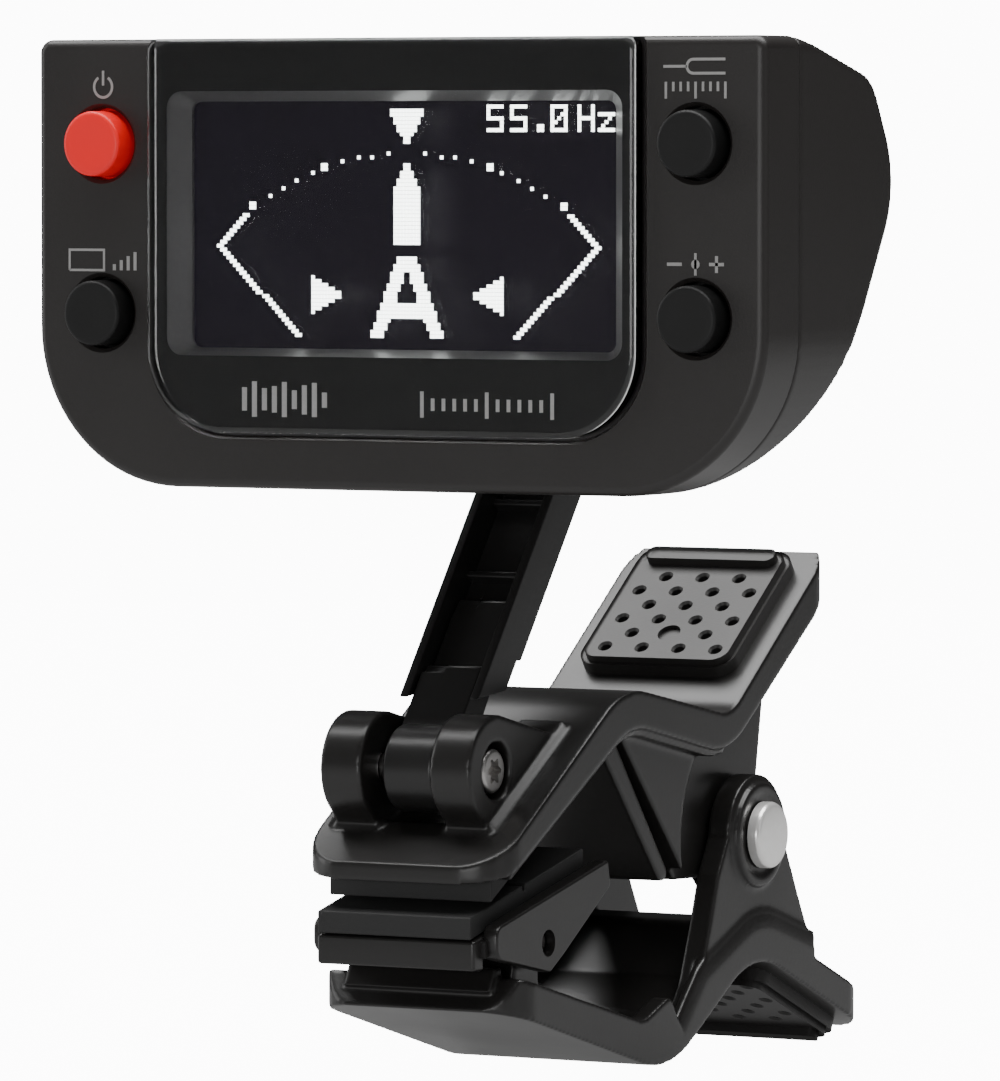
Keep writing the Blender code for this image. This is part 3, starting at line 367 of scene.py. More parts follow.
def combine(target, tool, operation):
    change = target.modifiers.new(operation.lower(), "BOOLEAN")
    change.operation = operation
    change.object = tool
    bake(target)
    body = bmesh.new()
    body.from_mesh(target.data)
    bmesh.ops.remove_doubles(body, verts=body.verts, dist=0.002 * MM)
    bmesh.ops.dissolve_degenerate(body, edges=body.edges, dist=0.002 * MM)
    body.to_mesh(target.data)
    body.free()
    bpy.data.objects.remove(tool)
    return target


def cut(target, *tools):
    for tool in tools:
        combine(target, tool, "DIFFERENCE")
    return target


def join(target, *tools):
    for tool in tools:
        combine(target, tool, "UNION")
    return target


def keep_inside(target, *tools):
    for tool in tools:
        combine(target, tool, "INTERSECT")
    return target


def soften(piece, width, segments=2, angle=35):
    """Rounds every edge sharper than the angle."""
    bevel = piece.modifiers.new("bevel", "BEVEL")
    bevel.width = width * MM
    bevel.segments = segments
    bevel.limit_method = "ANGLE"
    bevel.angle_limit = math.radians(angle)
    bevel.use_clamp_overlap = False
    bevel.miter_outer = "MITER_ARC"
    return bake(piece)


def mould(piece, voxel=0.16, rounds=8, keep=0.35):
    """Turns a crisp solid into a moulded one, with every edge and inner corner a little round."""
    piece.data.transform(Matrix.Scale(1 / MM, 4))
    grid = piece.modifiers.new("grid", "REMESH")
    grid.mode = "VOXEL"
    grid.voxel_size = voxel
    ease = piece.modifiers.new("ease", "SMOOTH")
    ease.factor = 0.5
    ease.iterations = rounds
    thin = piece.modifiers.new("thin", "DECIMATE")
    thin.ratio = keep
    bake(piece)
    piece.data.transform(Matrix.Scale(MM, 4))
    return piece


def gather(name, parts):
    """Several closed meshes as one object."""
    body = bmesh.new()
    for part in parts:
        body.from_mesh(part.data)
    mesh = bpy.data.meshes.new(name)
    body.to_mesh(mesh)
    body.free()
    for part in parts:
        bpy.data.objects.remove(part)
    piece = bpy.data.objects.new(name, mesh)
    bpy.context.scene.collection.objects.link(piece)
    return piece


# Finishes

def shader_of(name, colour, roughness, metallic=0.0):
    """A new Principled material, as (material, nodes, links, shader)."""
    finish = bpy.data.materials.new(name)
    finish.use_nodes = True
    nodes, links = finish.node_tree.nodes, finish.node_tree.links
    shader = nodes["Principled BSDF"]
    shader.inputs["Base Color"].default_value = (*colour, 1.0)
    shader.inputs["Roughness"].default_value = roughness
    shader.inputs["Metallic"].default_value = metallic
    return finish, nodes, links, shader


def noise_over(nodes, links, scale, detail=2.0):
    """A noise that lies over the piece, scale features to the metre."""
    place = nodes.new("ShaderNodeTexCoord")
    noise = nodes.new("ShaderNodeTexNoise")
    noise.inputs["Scale"].default_value = scale
    noise.inputs["Detail"].default_value = detail
    links.new(place.outputs["Object"], noise.inputs["Vector"])
    return noise.outputs["Fac"]


def between(nodes, links, factor, low, high):
    """A value that goes from low to high as the factor goes from 0 to 1."""
    level = nodes.new("ShaderNodeMapRange")
    level.inputs["To Min"].default_value = low
    level.inputs["To Max"].default_value = high
    links.new(factor, level.inputs["Value"])
    return level.outputs["Result"]


def mixed(nodes, links, factor, first, second):
    """A colour that goes from the first to the second with the factor."""
    tint = nodes.new("ShaderNodeMix")
    tint.data_type = "RGBA"
    tint.inputs["A"].default_value = (*first, 1.0)
    tint.inputs["B"].default_value = (*second, 1.0)
    links.new(factor, tint.inputs["Factor"])
    return tint.outputs["Result"]


def grained(name, colour, roughness, grain, depth, spread=0.06, metallic=0.0, sheen=0.5):
    """A moulded finish: grain features to the metre, pressed in by depth, and roughness within spread."""
    finish, nodes, links, shader = shader_of(name, colour, roughness, metallic)
    shader.inputs["Specular IOR Level"].default_value = sheen
    fine = noise_over(nodes, links, grain, 3.0)
    bump = nodes.new("ShaderNodeBump")
    bump.inputs["Strength"].default_value = 1.0
    bump.inputs["Distance"].default_value = depth * MM
    links.new(fine, bump.inputs["Height"])
    links.new(bump.outputs["Normal"], shader.inputs["Normal"])
    broad = noise_over(nodes, links, 90.0, 4.0)
    links.new(between(nodes, links, broad, roughness - spread, roughness + spread), shader.inputs["Roughness"])
    lighter = [min(1.0, value * 1.18 + 0.001) for value in colour]
    links.new(mixed(nodes, links, fine, colour, lighter), shader.inputs["Base Color"])
    return finish


def clear_lens():
    """The display's window, faintly smeared."""
    finish, nodes, links, shader = shader_of("clear_lens", (1.0, 1.0, 1.0), 0.02)
    shader.inputs["Transmission Weight"].default_value = 1.0
    shader.inputs["IOR"].default_value = 1.49
    smear = noise_over(nodes, links, 60.0)
    links.new(between(nodes, links, smear, 0.0, 0.03), shader.inputs["Roughness"])
    return finish


def glowing_dots():
    """The lit dots of the display."""
    finish, nodes, links, shader = shader_of("lit_dots", (0.9, 0.93, 0.92), 0.4)
    shader.inputs["Emission Color"].default_value = (0.93, 0.97, 0.95, 1.0)
    shader.inputs["Emission Strength"].default_value = 6.5
    return finish


def red_cap_painted_glow():
    """The power button's red, with a faint painted glow that keeps its strength in shade."""
    finish = grained("power_red", (0.900, 0.002, 0.004), 0.44, 5200.0, 0.005, 0.04)
    shader = finish.node_tree.nodes["Principled BSDF"]
    # Painted glow: a faint red emission keeps the cap bright red even where it lies in shade.
    shader.inputs["Emission Color"].default_value = (1.0, 0.004, 0.010, 1.0)
    shader.inputs["Emission Strength"].default_value = 0.10
    return finish


def dark_panel_painted_glow():
    """The display's unlit face, faintly violet and blotched, with a faint painted glow that shows the blotches
    in any light.
    """
    finish, nodes, links, shader = shader_of("dark_panel_painted_glow", (0.006, 0.004, 0.009), 0.25)
    cloud = noise_over(nodes, links, 70.0)
    violet = mixed(nodes, links, cloud, (0.009, 0.006, 0.010), (0.006, 0.005, 0.012))
    # Painted glow: the violet blotches are emitted, not lit by the lamps.
    links.new(violet, shader.inputs["Emission Color"])
    shader.inputs["Emission Strength"].default_value = 0.55
    return finish


FINISHES = {
    "case": grained("case_plastic", (0.0145, 0.0126, 0.0118), 0.42, 6500.0, 0.010, 0.05),
    "clip": grained("clip_plastic", (0.0100, 0.0093, 0.0088), 0.33, 2600.0, 0.004, 0.05),
    "arm": grained("arm_plastic", (0.0095, 0.0092, 0.0090), 0.34, 2600.0, 0.004, 0.05),
    "pad": grained("pad_plastic", (0.0150, 0.0140, 0.0133), 0.46, 5200.0, 0.008, 0.05),
    "grip": grained("grip_rubber", (0.0080, 0.0080, 0.0080), 0.62, 4200.0, 0.012, 0.05),
    "mask": grained("lens_mask", (0.0100, 0.0098, 0.0096), 0.30, 1500.0, 0.001, 0.02),
    "bezel": grained("bezel_grey", (0.115, 0.113, 0.115), 0.40, 3000.0, 0.003, 0.04),
    "red": red_cap_painted_glow(),
    "black": grained("button_black", (0.0040, 0.0040, 0.0040), 0.50, 5200.0, 0.006, 0.05, 0.0, 0.3),
    "legend": grained("legend_grey", (0.300, 0.295, 0.290), 0.55, 4000.0, 0.003, 0.03),
    "print": grained("lens_print", (0.560, 0.550, 0.540), 0.50, 4000.0, 0.003, 0.03),
    "steel": grained("bright_steel", (0.900, 0.880, 0.850), 0.26, 1800.0, 0.002, 0.05, 0.55),
    "screw": grained("screw_steel", (0.420, 0.410, 0.400), 0.34, 3000.0, 0.006, 0.08, 1.0),
    "spring": grained("spring_steel", (0.350, 0.340, 0.330), 0.34, 2500.0, 0.004, 0.05, 1.0),
    "board": grained("board_green", (0.010, 0.070, 0.030), 0.45, 2500.0, 0.010, 0.05),
    "jacket": grained("cell_jacket", (0.080, 0.085, 0.090), 0.30, 1500.0, 0.002, 0.05),
    "brass": grained("sensor_brass", (0.550, 0.380, 0.130), 0.30, 2500.0, 0.004, 0.05, 1.0),
    "lens": clear_lens(),
    "dots": glowing_dots(),
    "panel": dark_panel_painted_glow(),
}


def dress(piece, finish, body, nodes=(), smooth=True, sharp=38):
    """Gives a piece its finish and shading, and fixes it to its body in place of CAD nodes."""
    piece.data.materials.clear()
    piece.data.materials.append(FINISHES[finish])
    if body not in ("upper_lever", "lower_lever", "rocker"):
        piece.data.transform(Matrix.Translation((HEAD_X * MM, 0, 0)))
    if smooth:
        piece.data.shade_smooth()
        piece.data.set_sharp_from_angle(angle=math.radians(sharp))
        even = piece.modifiers.new("even_normals", "WEIGHTED_NORMAL")
        even.keep_sharp = True
    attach(piece, body)
    if nodes:
        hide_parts(*nodes)
    return piece


# Display unit

def case_front():
    """The front shell, with the lens's seat, the screen's window and the button bores."""
    shell = rimmed("case_front", case_outline, "Y", CASE_FRONT, SEAM - SEAM_GAP / 2, 0.7, 0.1)
    cut(shell, prism("hollow", case_outline(WALL), "Y", CASE_FRONT + WALL, SEAM + 1))
    seat = [(lens_outline(-0.7), CASE_FRONT - 0.25), (lens_outline(-0.25), CASE_FRONT + 0.2),
            (lens_outline(-0.2), LENS_BACK + GAP)]
    cut(shell, loft("seat", seat, "Y"))
    window = rectangle(SCREEN_HALF + 1.6, SCREEN_LOW - 1.6, SCREEN_TOP + 1.6, 1.0)
    cut(shell, prism("window", window, "Y", CASE_FRONT - 1, CASE_FRONT + WALL + 1))
    way = BUTTON_RADIUS + BUTTON_PLAY
    bore = [(CASE_FRONT - 1, 0), (CASE_FRONT - 1, BUTTON_RADIUS + 1.5), (CASE_FRONT + 0.3, way),
            (CASE_FRONT + 3, way), (CASE_FRONT + 3, 0)]
    for x in (-BUTTON_X, BUTTON_X):
        for z in (BUTTON_HIGH, BUTTON_LOW):
            cut(shell, turned("bore", bore, (x, 0, z), "Y"))
    for x in (-SCREW_X, SCREW_X):
        join(shell, rod("pillar", 2.2, (x, 0, SCREW_Z), "Y", CASE_FRONT + 1, SEAM - SEAM_GAP))
        cut(shell, rod("pilot", 1.3, (x, 0, SCREW_Z), "Y", CASE_FRONT + 2, SEAM + 1, 32))
    return dress(shell, "case", "head", ["front_case"])


def door_line(grow=0.0):
    """The stretch of the rear line that the battery door covers."""
    line = [point for point in rear_line() if CASE_TOP - 17.6 < point[1] < CASE_TOP - 1.9]
    first, last = Vector(line[0]) - Vector(line[1]), Vector(line[-1]) - Vector(line[-2])
    line[0] = tuple(Vector(line[0]) + first.normalized() * grow)
    line[-1] = tuple(Vector(line[-1]) + last.normalized() * grow)
    return line


def case_rear():
    """The rear shell, its battery bulge, door opening, swivel boss and screw wells."""
    front = SEAM + SEAM_GAP / 2
    outer = rear_line()
    outer[0] = (front, CASE_TOP)
    outer.append((front, CASE_TOP - CASE_HEIGHT))
    shell = prism("case_rear", outer, "X", -CASE_WIDTH / 2, CASE_WIDTH / 2)
    keep_inside(shell, prism("front_view", case_outline(0), "Y", front, front + 30))
    inner = offset_path(rear_line(), -WALL)
    inner[0] = (front - 1, CASE_TOP - WALL)
    inner.append((front - 1, inner[-1][1]))
    hollow = prism("hollow", inner, "X", -CASE_WIDTH / 2 + WALL, CASE_WIDTH / 2 - WALL)
    keep_inside(hollow, prism("inner_view", case_outline(WALL), "Y", front - 2, front + 30))
    cut(shell, hollow)
    cut(shell, rod("boss_way", 5.5, (0, 0, SWIVEL_Z), "Y", front + 1, BOSS_BACK + 1))
    boss = rod("boss", 6.6, (0, 0, SWIVEL_Z), "Y", front + 2, BOSS_BACK, rim=0.4)
    cut(boss, rod("boss_core", 4.4, (0, 0, SWIVEL_Z), "Y", front - 1, BOSS_BACK - 2.0))
    cut(boss, rod("boss_bore", SWIVEL_BORE, (0, 0, SWIVEL_Z), "Y", front, BOSS_BACK + 1))
    join(shell, boss)
    opening = offset_path(door_line(0.12), 3.0) + offset_path(door_line(0.12), -WALL - 0.1)[::-1]
    cut(shell, prism("door_opening", opening, "X", -CASE_WIDTH / 2 - 1, DOOR_REACH + 0.12))
    for x in (-SCREW_X, SCREW_X):
        cut(shell, rod("screw_hole", 1.3, (x, 0, SCREW_Z), "Y", front - 1, front + 12, 32))
        cut(shell, rod("screw_sink", 2.2, (x, 0, SCREW_Z), "Y", front + 1.2, front + 12, 48))
    return dress(mould(shell, 0.2, 4), "case", "head", ["rear_cover"], sharp=60)


def battery_door():
    """The curved battery door, with ribs for the thumb that slides it."""
    line = door_line()
    outline = line + offset_path(line, -WALL)[::-1]
    door = soften(prism("battery_door_skin", outline, "X", -CASE_WIDTH / 2, DOOR_REACH), 0.15, 2)
    middle = len(line) // 2
    crest = offset_path(line, 0.25)[middle - 4:middle + 5]
    root = offset_path(line, -0.6)[middle - 4:middle + 5]
    for rib in range(6):
        x = -24.0 + 1.5 * rib
        join(door, soften(prism("rib", crest + root[::-1], "X", x, x + 0.7), 0.12, 2))
    return dress(door, "case", "battery_door", ["battery_door"])


def lens():
    """The clear window that covers the display."""
    pane = rimmed("lens_pane", lens_outline, "Y", LENS_FACE, LENS_BACK - 0.06, 0.45, 0.0)
    return dress(pane, "lens", "head", ["display_lens"])


def lens_mask():
    """The black print behind the lens, open at the screen."""
    mask = prism("lens_mask", lens_outline(0.06), "Y", LENS_BACK - 0.04, LENS_BACK)
    window = rectangle(SCREEN_HALF + 1.3, SCREEN_LOW - 0.55, SCREEN_TOP + 0.75, 1.3)
    cut(mask, prism("window", window, "Y", LENS_BACK - 1, LENS_BACK + 1))
    return dress(mask, "mask", "head")


def bezel():
    """The grey frame that slopes in from the mask to the screen."""
    outer = rectangle(SCREEN_HALF + 1.4, SCREEN_LOW - 0.7, SCREEN_TOP + 0.9, 1.4)
    inner = rectangle(SCREEN_HALF, SCREEN_LOW, SCREEN_TOP, 0.7)
    front, back = LENS_BACK + 0.05, PANEL_FACE - 0.05
    rings = [(outer, front), (inner, back - 0.3), (inner, back), (outer, back)]
    rings.append(rings[0])
    piece = loft("bezel", rings, "Y", open_ends=True)
    body = bmesh.new()
    body.from_mesh(piece.data)
    bmesh.ops.remove_doubles(body, verts=body.verts, dist=0.001 * MM)
    bmesh.ops.recalc_face_normals(body, faces=body.faces)
    body.to_mesh(piece.data)
    body.free()
    return dress(piece, "bezel", "head", ["display_bezel"])


def panel():
    """The display panel."""
    low = (-SCREEN_HALF - 1.2, PANEL_FACE, SCREEN_LOW - 1.2)
    high = (SCREEN_HALF + 1.2, PANEL_FACE + 1.4, SCREEN_TOP + 1.2)
    return dress(soften(block("panel", low, high), 0.1), "panel", "head", ["oled_module"])


COLUMNS, ROWS = 128, 64
CENTRE_COLUMN = 65
SEGMENTS = {"top": [(c, 0) for c in range(5)], "middle": [(c, 3) for c in range(5)],
            "bottom": [(c, 6) for c in range(5)], "left_high": [(0, r) for r in range(4)],
            "right_high": [(4, r) for r in range(4)], "left_low": [(0, r) for r in range(3, 7)],
            "right_low": [(4, r) for r in range(3, 7)], "slash": [(3, 2), (2, 3), (1, 4)]}
FIGURES = {"5": ("top", "left_high", "middle", "right_low", "bottom"),
           "0": ("top", "left_high", "right_high", "left_low", "right_low", "bottom", "slash"),
           "H": ("left_high", "left_low", "middle", "right_high", "right_low")}


def lit_cells():
    """(column, row) of every lit dot: a pointer over a dotted arc, two chevrons, a note and a reading."""
    cells = set()
    for row, half in enumerate([5, 5, 4, 4, 3, 3, 2, 1, 1]):
        cells |= {(CENTRE_COLUMN + c, 2 + row) for c in range(-half, half)}
    for row, half in enumerate([1, 1, 2, 2, 3, 3] + [4] * 15):
        cells |= {(CENTRE_COLUMN + c, 16 + row) for c in range(-half, half)}
    for row in range(21):
        outer = 3 + round(row * 0.4)
        inner = outer - 4 if 4 <= row <= 11 or row >= 16 else 0
        for c in range(inner, outer):
            cells |= {(CENTRE_COLUMN + c, 40 + row), (CENTRE_COLUMN - 1 - c, 40 + row)}
    radius = 84
    for count in range(1, 11):
        angle = math.radians(3.28 * count)
        column = round(radius * math.sin(angle))
        row = 13 + round(radius * (1 - math.cos(angle)))
        size = 2 if count % 5 == 0 else 1
        for c in range(size):
            for r in range(size):
                cells |= {(CENTRE_COLUMN + column + c, row + r), (CENTRE_COLUMN - 1 - column - c, row + r)}
    for row in range(29, 61):
        reach = 57 - (abs(row - 37) if row < 37 else round((row - 37) * 1.04))
        for c in (reach - 1, reach):
            cells |= {(CENTRE_COLUMN + c, row), (CENTRE_COLUMN - 1 - c, row)}
    for row in range(10):
        depth = 2 * min(row, 9 - row)
        for c in range(20, 21 + min(depth, 8)):
            cells |= {(CENTRE_COLUMN - 49 + c, 45 + row), (CENTRE_COLUMN + 48 - c, 45 + row)}
    for figure, start in (("5", 89), ("5", 96), ("0", 108), ("H", 116)):
        for segment in FIGURES[figure]:
            cells |= {(start + c, 1 + r) for c, r in SEGMENTS[segment]}
    cells |= {(104 + c, 6 + r) for c in range(2) for r in range(2)}
    for c in range(5):
        cells |= {(122 + c, 3), (122 + c, 7), (122 + 4 - c, min(3 + c, 7))}
    return sorted(cells)


def screen_dots():
    """The lit dots, standing a hair off the panel, drawn as runs along each row."""
    width = 2 * SCREEN_HALF / COLUMNS
    height = (SCREEN_TOP - SCREEN_LOW) / ROWS
    vertices, faces = [], []
    for column, row in lit_cells():
        left, top = -SCREEN_HALF + column * width, SCREEN_TOP - row * height
        y = PANEL_FACE - 0.03
        start = len(vertices)
        for x, z in ((0.02, 0.04), (0.98, 0.04), (0.98, 0.96), (0.02, 0.96)):
            for depth in (0.0, 0.02):
                vertices.append((left + x * width, y + depth, top - z * height))
        ring = [start, start + 2, start + 4, start + 6]
        faces.append(tuple(ring))
        faces.append(tuple(corner + 1 for corner in reversed(ring)))
        for side in range(4):
            after = ring[(side + 1) % 4]
            faces.append((ring[side], ring[side] + 1, after + 1, after))
    return dress(add_object("screen_dots", vertices, faces), "dots", "head", smooth=False)


def button(name, x, z, finish):
    """A button: a straight cap with a round rim and a faintly dished face."""
    front = CASE_FRONT - BUTTON_PROUD
    flange = CASE_FRONT + WALL + GAP
    r = BUTTON_RADIUS
    face = [(front + 0.05, 0), (front + 0.04, 0.8), (front + 0.01, 1.5)]
    rim = [(front + 0.3 * (1 - math.cos(math.radians(a))), r - 0.35 + 0.3 * math.sin(math.radians(a)))
           for a in range(0, 91, 15)]
    skirt = [(flange, r), (flange, r + 0.7), (flange + 0.5, r + 0.7), (flange + 0.5, 0)]
    cap = turned(name + "_cap", face + rim + skirt, (x, 0, z), "Y", 96)
    return dress(cap, finish, name + "_button", [name + "_button"])


# Printed marks

def stroke(points, width, y, closed=False):
    """A printed line of the given width through (X, Z) points, 0.03 thick."""
    line = points + [points[0]] if closed else points
    sides = offset_path(line, width / 2) + offset_path(line, -width / 2)[::-1]
    return prism("stroke", sides, "Y", y, y + 0.03)


def dot(x, z, radius, y):
    return prism("dot", circle(x, z, radius, 24), "Y", y, y + 0.03)


def power_mark(y):
    x, z = -BUTTON_X + 0.15, CASE_TOP - 3.5
    return [stroke(arc(x, z, 0.78, 122, 418, 36), 0.2, y), stroke([(x, z + 1.2), (x, z + 0.1)], 0.2, y)]


def screen_mark(y):
    """A small screen beside rising bars."""
    x, z = -BUTTON_X - 1.3, CASE_TOP - 16.3
    parts = [stroke(rectangle_at(x, z, 1.5, 0.75), 0.18, y, closed=True)]
    for bar in range(4):
        left = x + 2.4 + 0.6 * bar
        parts.append(stroke([(left, z - 0.75), (left, z - 0.3 + 0.3 * bar)], 0.26, y))
    return parts


def rectangle_at(x, z, half_u, half_v):
    left, right = x - half_u, x + half_u
    return [(left, z - half_v), (right, z - half_v), (right, z + half_v), (left, z + half_v)]


def fork_mark(y):
    """A tuning fork over a short scale."""
    x, z = BUTTON_X, CASE_TOP - 2.2
    bow = [(x + 2.4, z + 0.5), (x - 0.2, z + 0.5)] + arc(x - 0.2, z, 0.5, 90, 270, 12)
    bow.append((x + 2.4, z - 0.5))
    parts = [stroke(bow, 0.2, y), stroke([(x - 0.7, z), (x - 2.6, z)], 0.2, y)]
    for tick in range(9):
        tall = 0.6 if tick % 4 == 0 else 0.34
        left = x - 2.4 + 0.6 * tick
        parts.append(stroke([(left, z - 1.1), (left, z - 1.1 - 2 * tall)], 0.2, y))
    return parts


def trim_mark(y):
    """A minus and a plus on either side of a centre line."""
    x, z = BUTTON_X, CASE_TOP - 16.3
    return [stroke([(x - 2.3, z), (x - 1.1, z)], 0.24, y), stroke([(x + 1.1, z), (x + 2.3, z)], 0.24, y),
            stroke([(x + 1.7, z + 0.6), (x + 1.7, z - 0.6)], 0.24, y),
            stroke([(x, z + 0.8), (x, z - 0.8)], 0.2, y), dot(x, z, 0.34, y)]


def housing_marks():
    y = CASE_FRONT - 0.02
    marks = gather("housing_marks", power_mark(y) + screen_mark(y) + fork_mark(y) + trim_mark(y))
    return dress(marks, "legend", "head", smooth=False)


def lens_marks():
    """A sound wave and a dial scale, printed behind the lens under the screen."""
    y = LENS_BACK - 0.1
    parts = []
    z = CASE_TOP - 26.4
    for bar in range(9):
        tall = 0.45 + 0.85 * abs(math.sin(1.1 * bar + 0.5))
        left = -12.4 + 0.85 * bar
        parts.append(stroke([(left, z - tall), (left, z + tall)], 0.42, y))
    for tick in range(13):
        tall = 0.95 if tick % 6 == 0 else 0.45
        left = 2.6 + 0.9 * tick
        parts.append(stroke([(left, z - 0.2 - tall), (left, z - 0.2 + tall)], 0.3, y))
    return dress(gather("lens_marks", parts), "print", "head", smooth=False)


# Swivel, arm and screws

def headed_screw(name, centre, axis, toward, shank, head_radius, head_height, length, socket, body, nodes):
    """A pan-head screw. Its head's outer face is at toward, on the side that head_height points to."""
    side = math.copysign(1, head_height)
    crown = [(toward - side * 0.3 * (1 - math.cos(math.radians(a))),
              head_radius - 0.3 * (1 - math.sin(math.radians(a)))) for a in range(0, 91, 15)]
    under = toward - head_height
    profile = [(toward, 0)] + crown + [(under, head_radius), (under, shank), (under - side * length, shank),
                                      (under - side * length, 0)]
    screw = turned(name, profile, centre, axis, 48)
    u, v = {"X": (centre[1], centre[2]), "Y": (centre[0], centre[2])}[axis]
    face = toward + {"X": centre[0], "Y": centre[1]}[axis]
    depth = sorted((face - side * 0.6, face + side * 1.0))
    if socket == "star":
        points = []
        for step in range(48):
            angle = 2 * math.pi * step / 48
            radius = 0.84 + 0.17 * math.cos(6 * angle)
            points.append((u + radius * math.cos(angle), v + radius * math.sin(angle)))
        cut(screw, prism("socket", points, axis, *depth))
    else:
        reach = head_radius * 0.62
        for half_u, half_v in ((reach, 0.24), (0.24, reach)):
            cut(screw, prism("slot", rectangle_at(u, v, half_u, half_v), axis, *depth))
    return dress(screw, "screw", body, nodes)


def swivel_yoke():
    """The disc that turns on the boss, with two ears for the tilt hinge."""
    front = BOSS_BACK + GAP
    yoke = rod("yoke_body", DISC_RADIUS, (0, 0, SWIVEL_Z), "Y", front, front + DISC_THICK, rim=0.3)
    corners = [(front + 0.6, SWIVEL_Z + 3.6, 0.8), (front + 4.0, SWIVEL_Z + 3.2, 3.0),
               (TILT_Y + 3.1, TILT_Z + 2.6, 3.0), (TILT_Y + 3.1, TILT_Z - 3.1, 3.0),
               (TILT_Y - 2.4, TILT_Z - 3.1, 3.0), (front + 0.6, SWIVEL_Z - 4.4, 0.0)]
    for side in (-1, 1):
        join(yoke, soften(flank("ear", rounded(corners), side, ARM_HALF + 0.2, YOKE_OUTER), 0.3, 3))
    cut(yoke, rod("tilt_bore", TILT_BORE, TILT, "X", -8, 8))
    cut(yoke, rod("swivel_bore", SWIVEL_BORE, (0, 0, SWIVEL_Z), "Y", front - 1, front + 5, 32))
    cut(yoke, rod("swivel_sink", 2.9, (0, 0, SWIVEL_Z), "Y", front + 1.4, front + 5))
    return dress(yoke, "arm", "yoke", ["swivel_yoke"])


def domed_pin(name, radius, head_radius, head, end, centre, finish, body, node):
    """A pin along X with a chamfered head at each end."""
    rim = head_radius - 0.42
    half = [(end + head, 0), (end + head, rim)]
    half += [(end + head - 0.42 * (1 - math.cos(math.radians(a))), rim + 0.42 * math.sin(math.radians(a)))
             for a in range(15, 91, 15)]
    half += [(end, head_radius), (end, radius)]
    profile = [(-along, r) for along, r in half] + half[::-1]
    return dress(turned(name, profile, centre, "X", 96), finish, body, [node])


def arm_outline(corners, steps=10):
    return rounded([(*arm_point(along, across), radius) for along, across, radius in corners], steps)


def arm_channel():
    """The arm's outer piece: a channel open to the front, with two ribs across its floor."""
    corners = [(5.4, ARM_FRONT, 0.0), (8.4, -ARM_BACK + 0.5, 0.0), (11.2, -ARM_BACK + 0.5, 0.0),
               (11.4, -ARM_BACK, 0.0), (ARM_LENGTH + 2.4, -ARM_BACK, 2.4),
               (ARM_LENGTH + 2.4, ARM_FRONT + 1.2, 2.4), (ARM_LENGTH - 3.6, ARM_FRONT + 1.2, 1.0),
               (ARM_LENGTH - 5.0, ARM_FRONT, 1.0)]
    channel = prism("arm_outer", arm_outline(corners), "X", -ARM_HALF, ARM_HALF)
    hollow = [(4.0, ARM_FRONT + 3, 0.0), (4.0, -ARM_BACK + 1.0, 0.0),
              (ARM_LENGTH - 4.0, -ARM_BACK + 1.0, 1.0), (ARM_LENGTH - 4.0, ARM_FRONT + 3, 0.0)]
    cut(channel, prism("channel_hollow", arm_outline(hollow), "X", -ARM_HALF + ARM_WALL, ARM_HALF - ARM_WALL))
    heel = [(3.0, -ARM_BACK - 1, 0), (10.0, -ARM_BACK - 1, 0),
            (8.0, -ARM_BACK + 1.4, 0), (3.0, -ARM_BACK + 1.4, 0)]
    cut(channel, prism("heel", arm_outline(heel), "X", -ARM_HALF + ARM_WALL, ARM_HALF - ARM_WALL))
    cut(channel, rod("tilt_bore", TILT_BORE, TILT, "X", -8, 8))
    soften(channel, 0.16, 2)
    for along in (17.6, 24.2):
        rib = [(along, -ARM_BACK + 0.8, 0), (along, -0.6, 0.2),
               (along + 0.6, -0.6, 0.2), (along + 0.6, -ARM_BACK + 0.8, 0)]
        join(channel, prism("rib", arm_outline(rib, 3), "X", -ARM_HALF + 0.5, ARM_HALF - 0.5))
    return dress(channel, "arm", "arm", ["arm_channel"])


def arm_core():
    """The tongue inside the channel, ending in the knuckle between the clevis ears."""
    half = ARM_HALF - ARM_WALL - 0.15
    tongue = [(0.0, 0.9, 0.0), (0.0, -2.0, 0.0), (12.5, -ARM_BACK + 1.3, 0.0), (15.5, -ARM_BACK + 1.3, 0.0),
              (15.5, -0.3, 0.5), (9.2, -0.3, 0.0), (8.6, 0.9, 0.5)]
    core = prism("arm_inner", arm_outline(tongue), "X", -half, half)
    join(core, rod("knuckle", 3.2, KNUCKLE, "X", -EAR_INNER + GAP + 1.0, EAR_INNER - GAP, rim=0.3))
    cut(core, rod("knuckle_bore", KNUCKLE_BORE, KNUCKLE, "X", -8, 8))
    groove = [(8.0, 1.2, 0), (8.0, 0.5, 0), (16.5, -0.7, 0), (16.5, 1.0, 0)]
    cut(core, prism("groove", arm_outline(groove), "X", -half - 1, -half + 1.9))
    soften(core, 0.15, 2)
    return dress(core, "arm", "arm", ["arm_core"])


# Clip

def plan_view(front, back, front_radius, back_radius, half=CLIP_HALF):
    """A tall solid with a lever's outline as seen from above."""
    outline = [(-half, front, front_radius), (half, front, front_radius),
               (half, back, back_radius), (-half, back, back_radius)]
    return prism("plan_view", rounded(outline, 14), "Z", -30, 40)


def crease_z(y):
    """Height of the upper jaw's outer line before its first bend."""
    (y0, z0, _), (y1, z1, _) = UPPER_TOP[:2]
    return z0 + (z1 - z0) * (y - y0) / (y1 - y0)


def clevis_ear(side):
    """One ear of the clevis on the upper jaw."""
    y, z, r = KNUCKLE_Y, KNUCKLE_Z, EAR_RADIUS
    foot = [(-3.6, crease_z(-3.6) - 0.8), (6.4, crease_z(6.4) - 0.8), (6.4, 8.3)]
    outline = arc(y, z, r, 80, 224, 28) + foot
    ends = sorted((HEAD_X + side * EAR_INNER, HEAD_X + side * EAR_OUTER))
    return prism("ear", outline, "X", *ends)


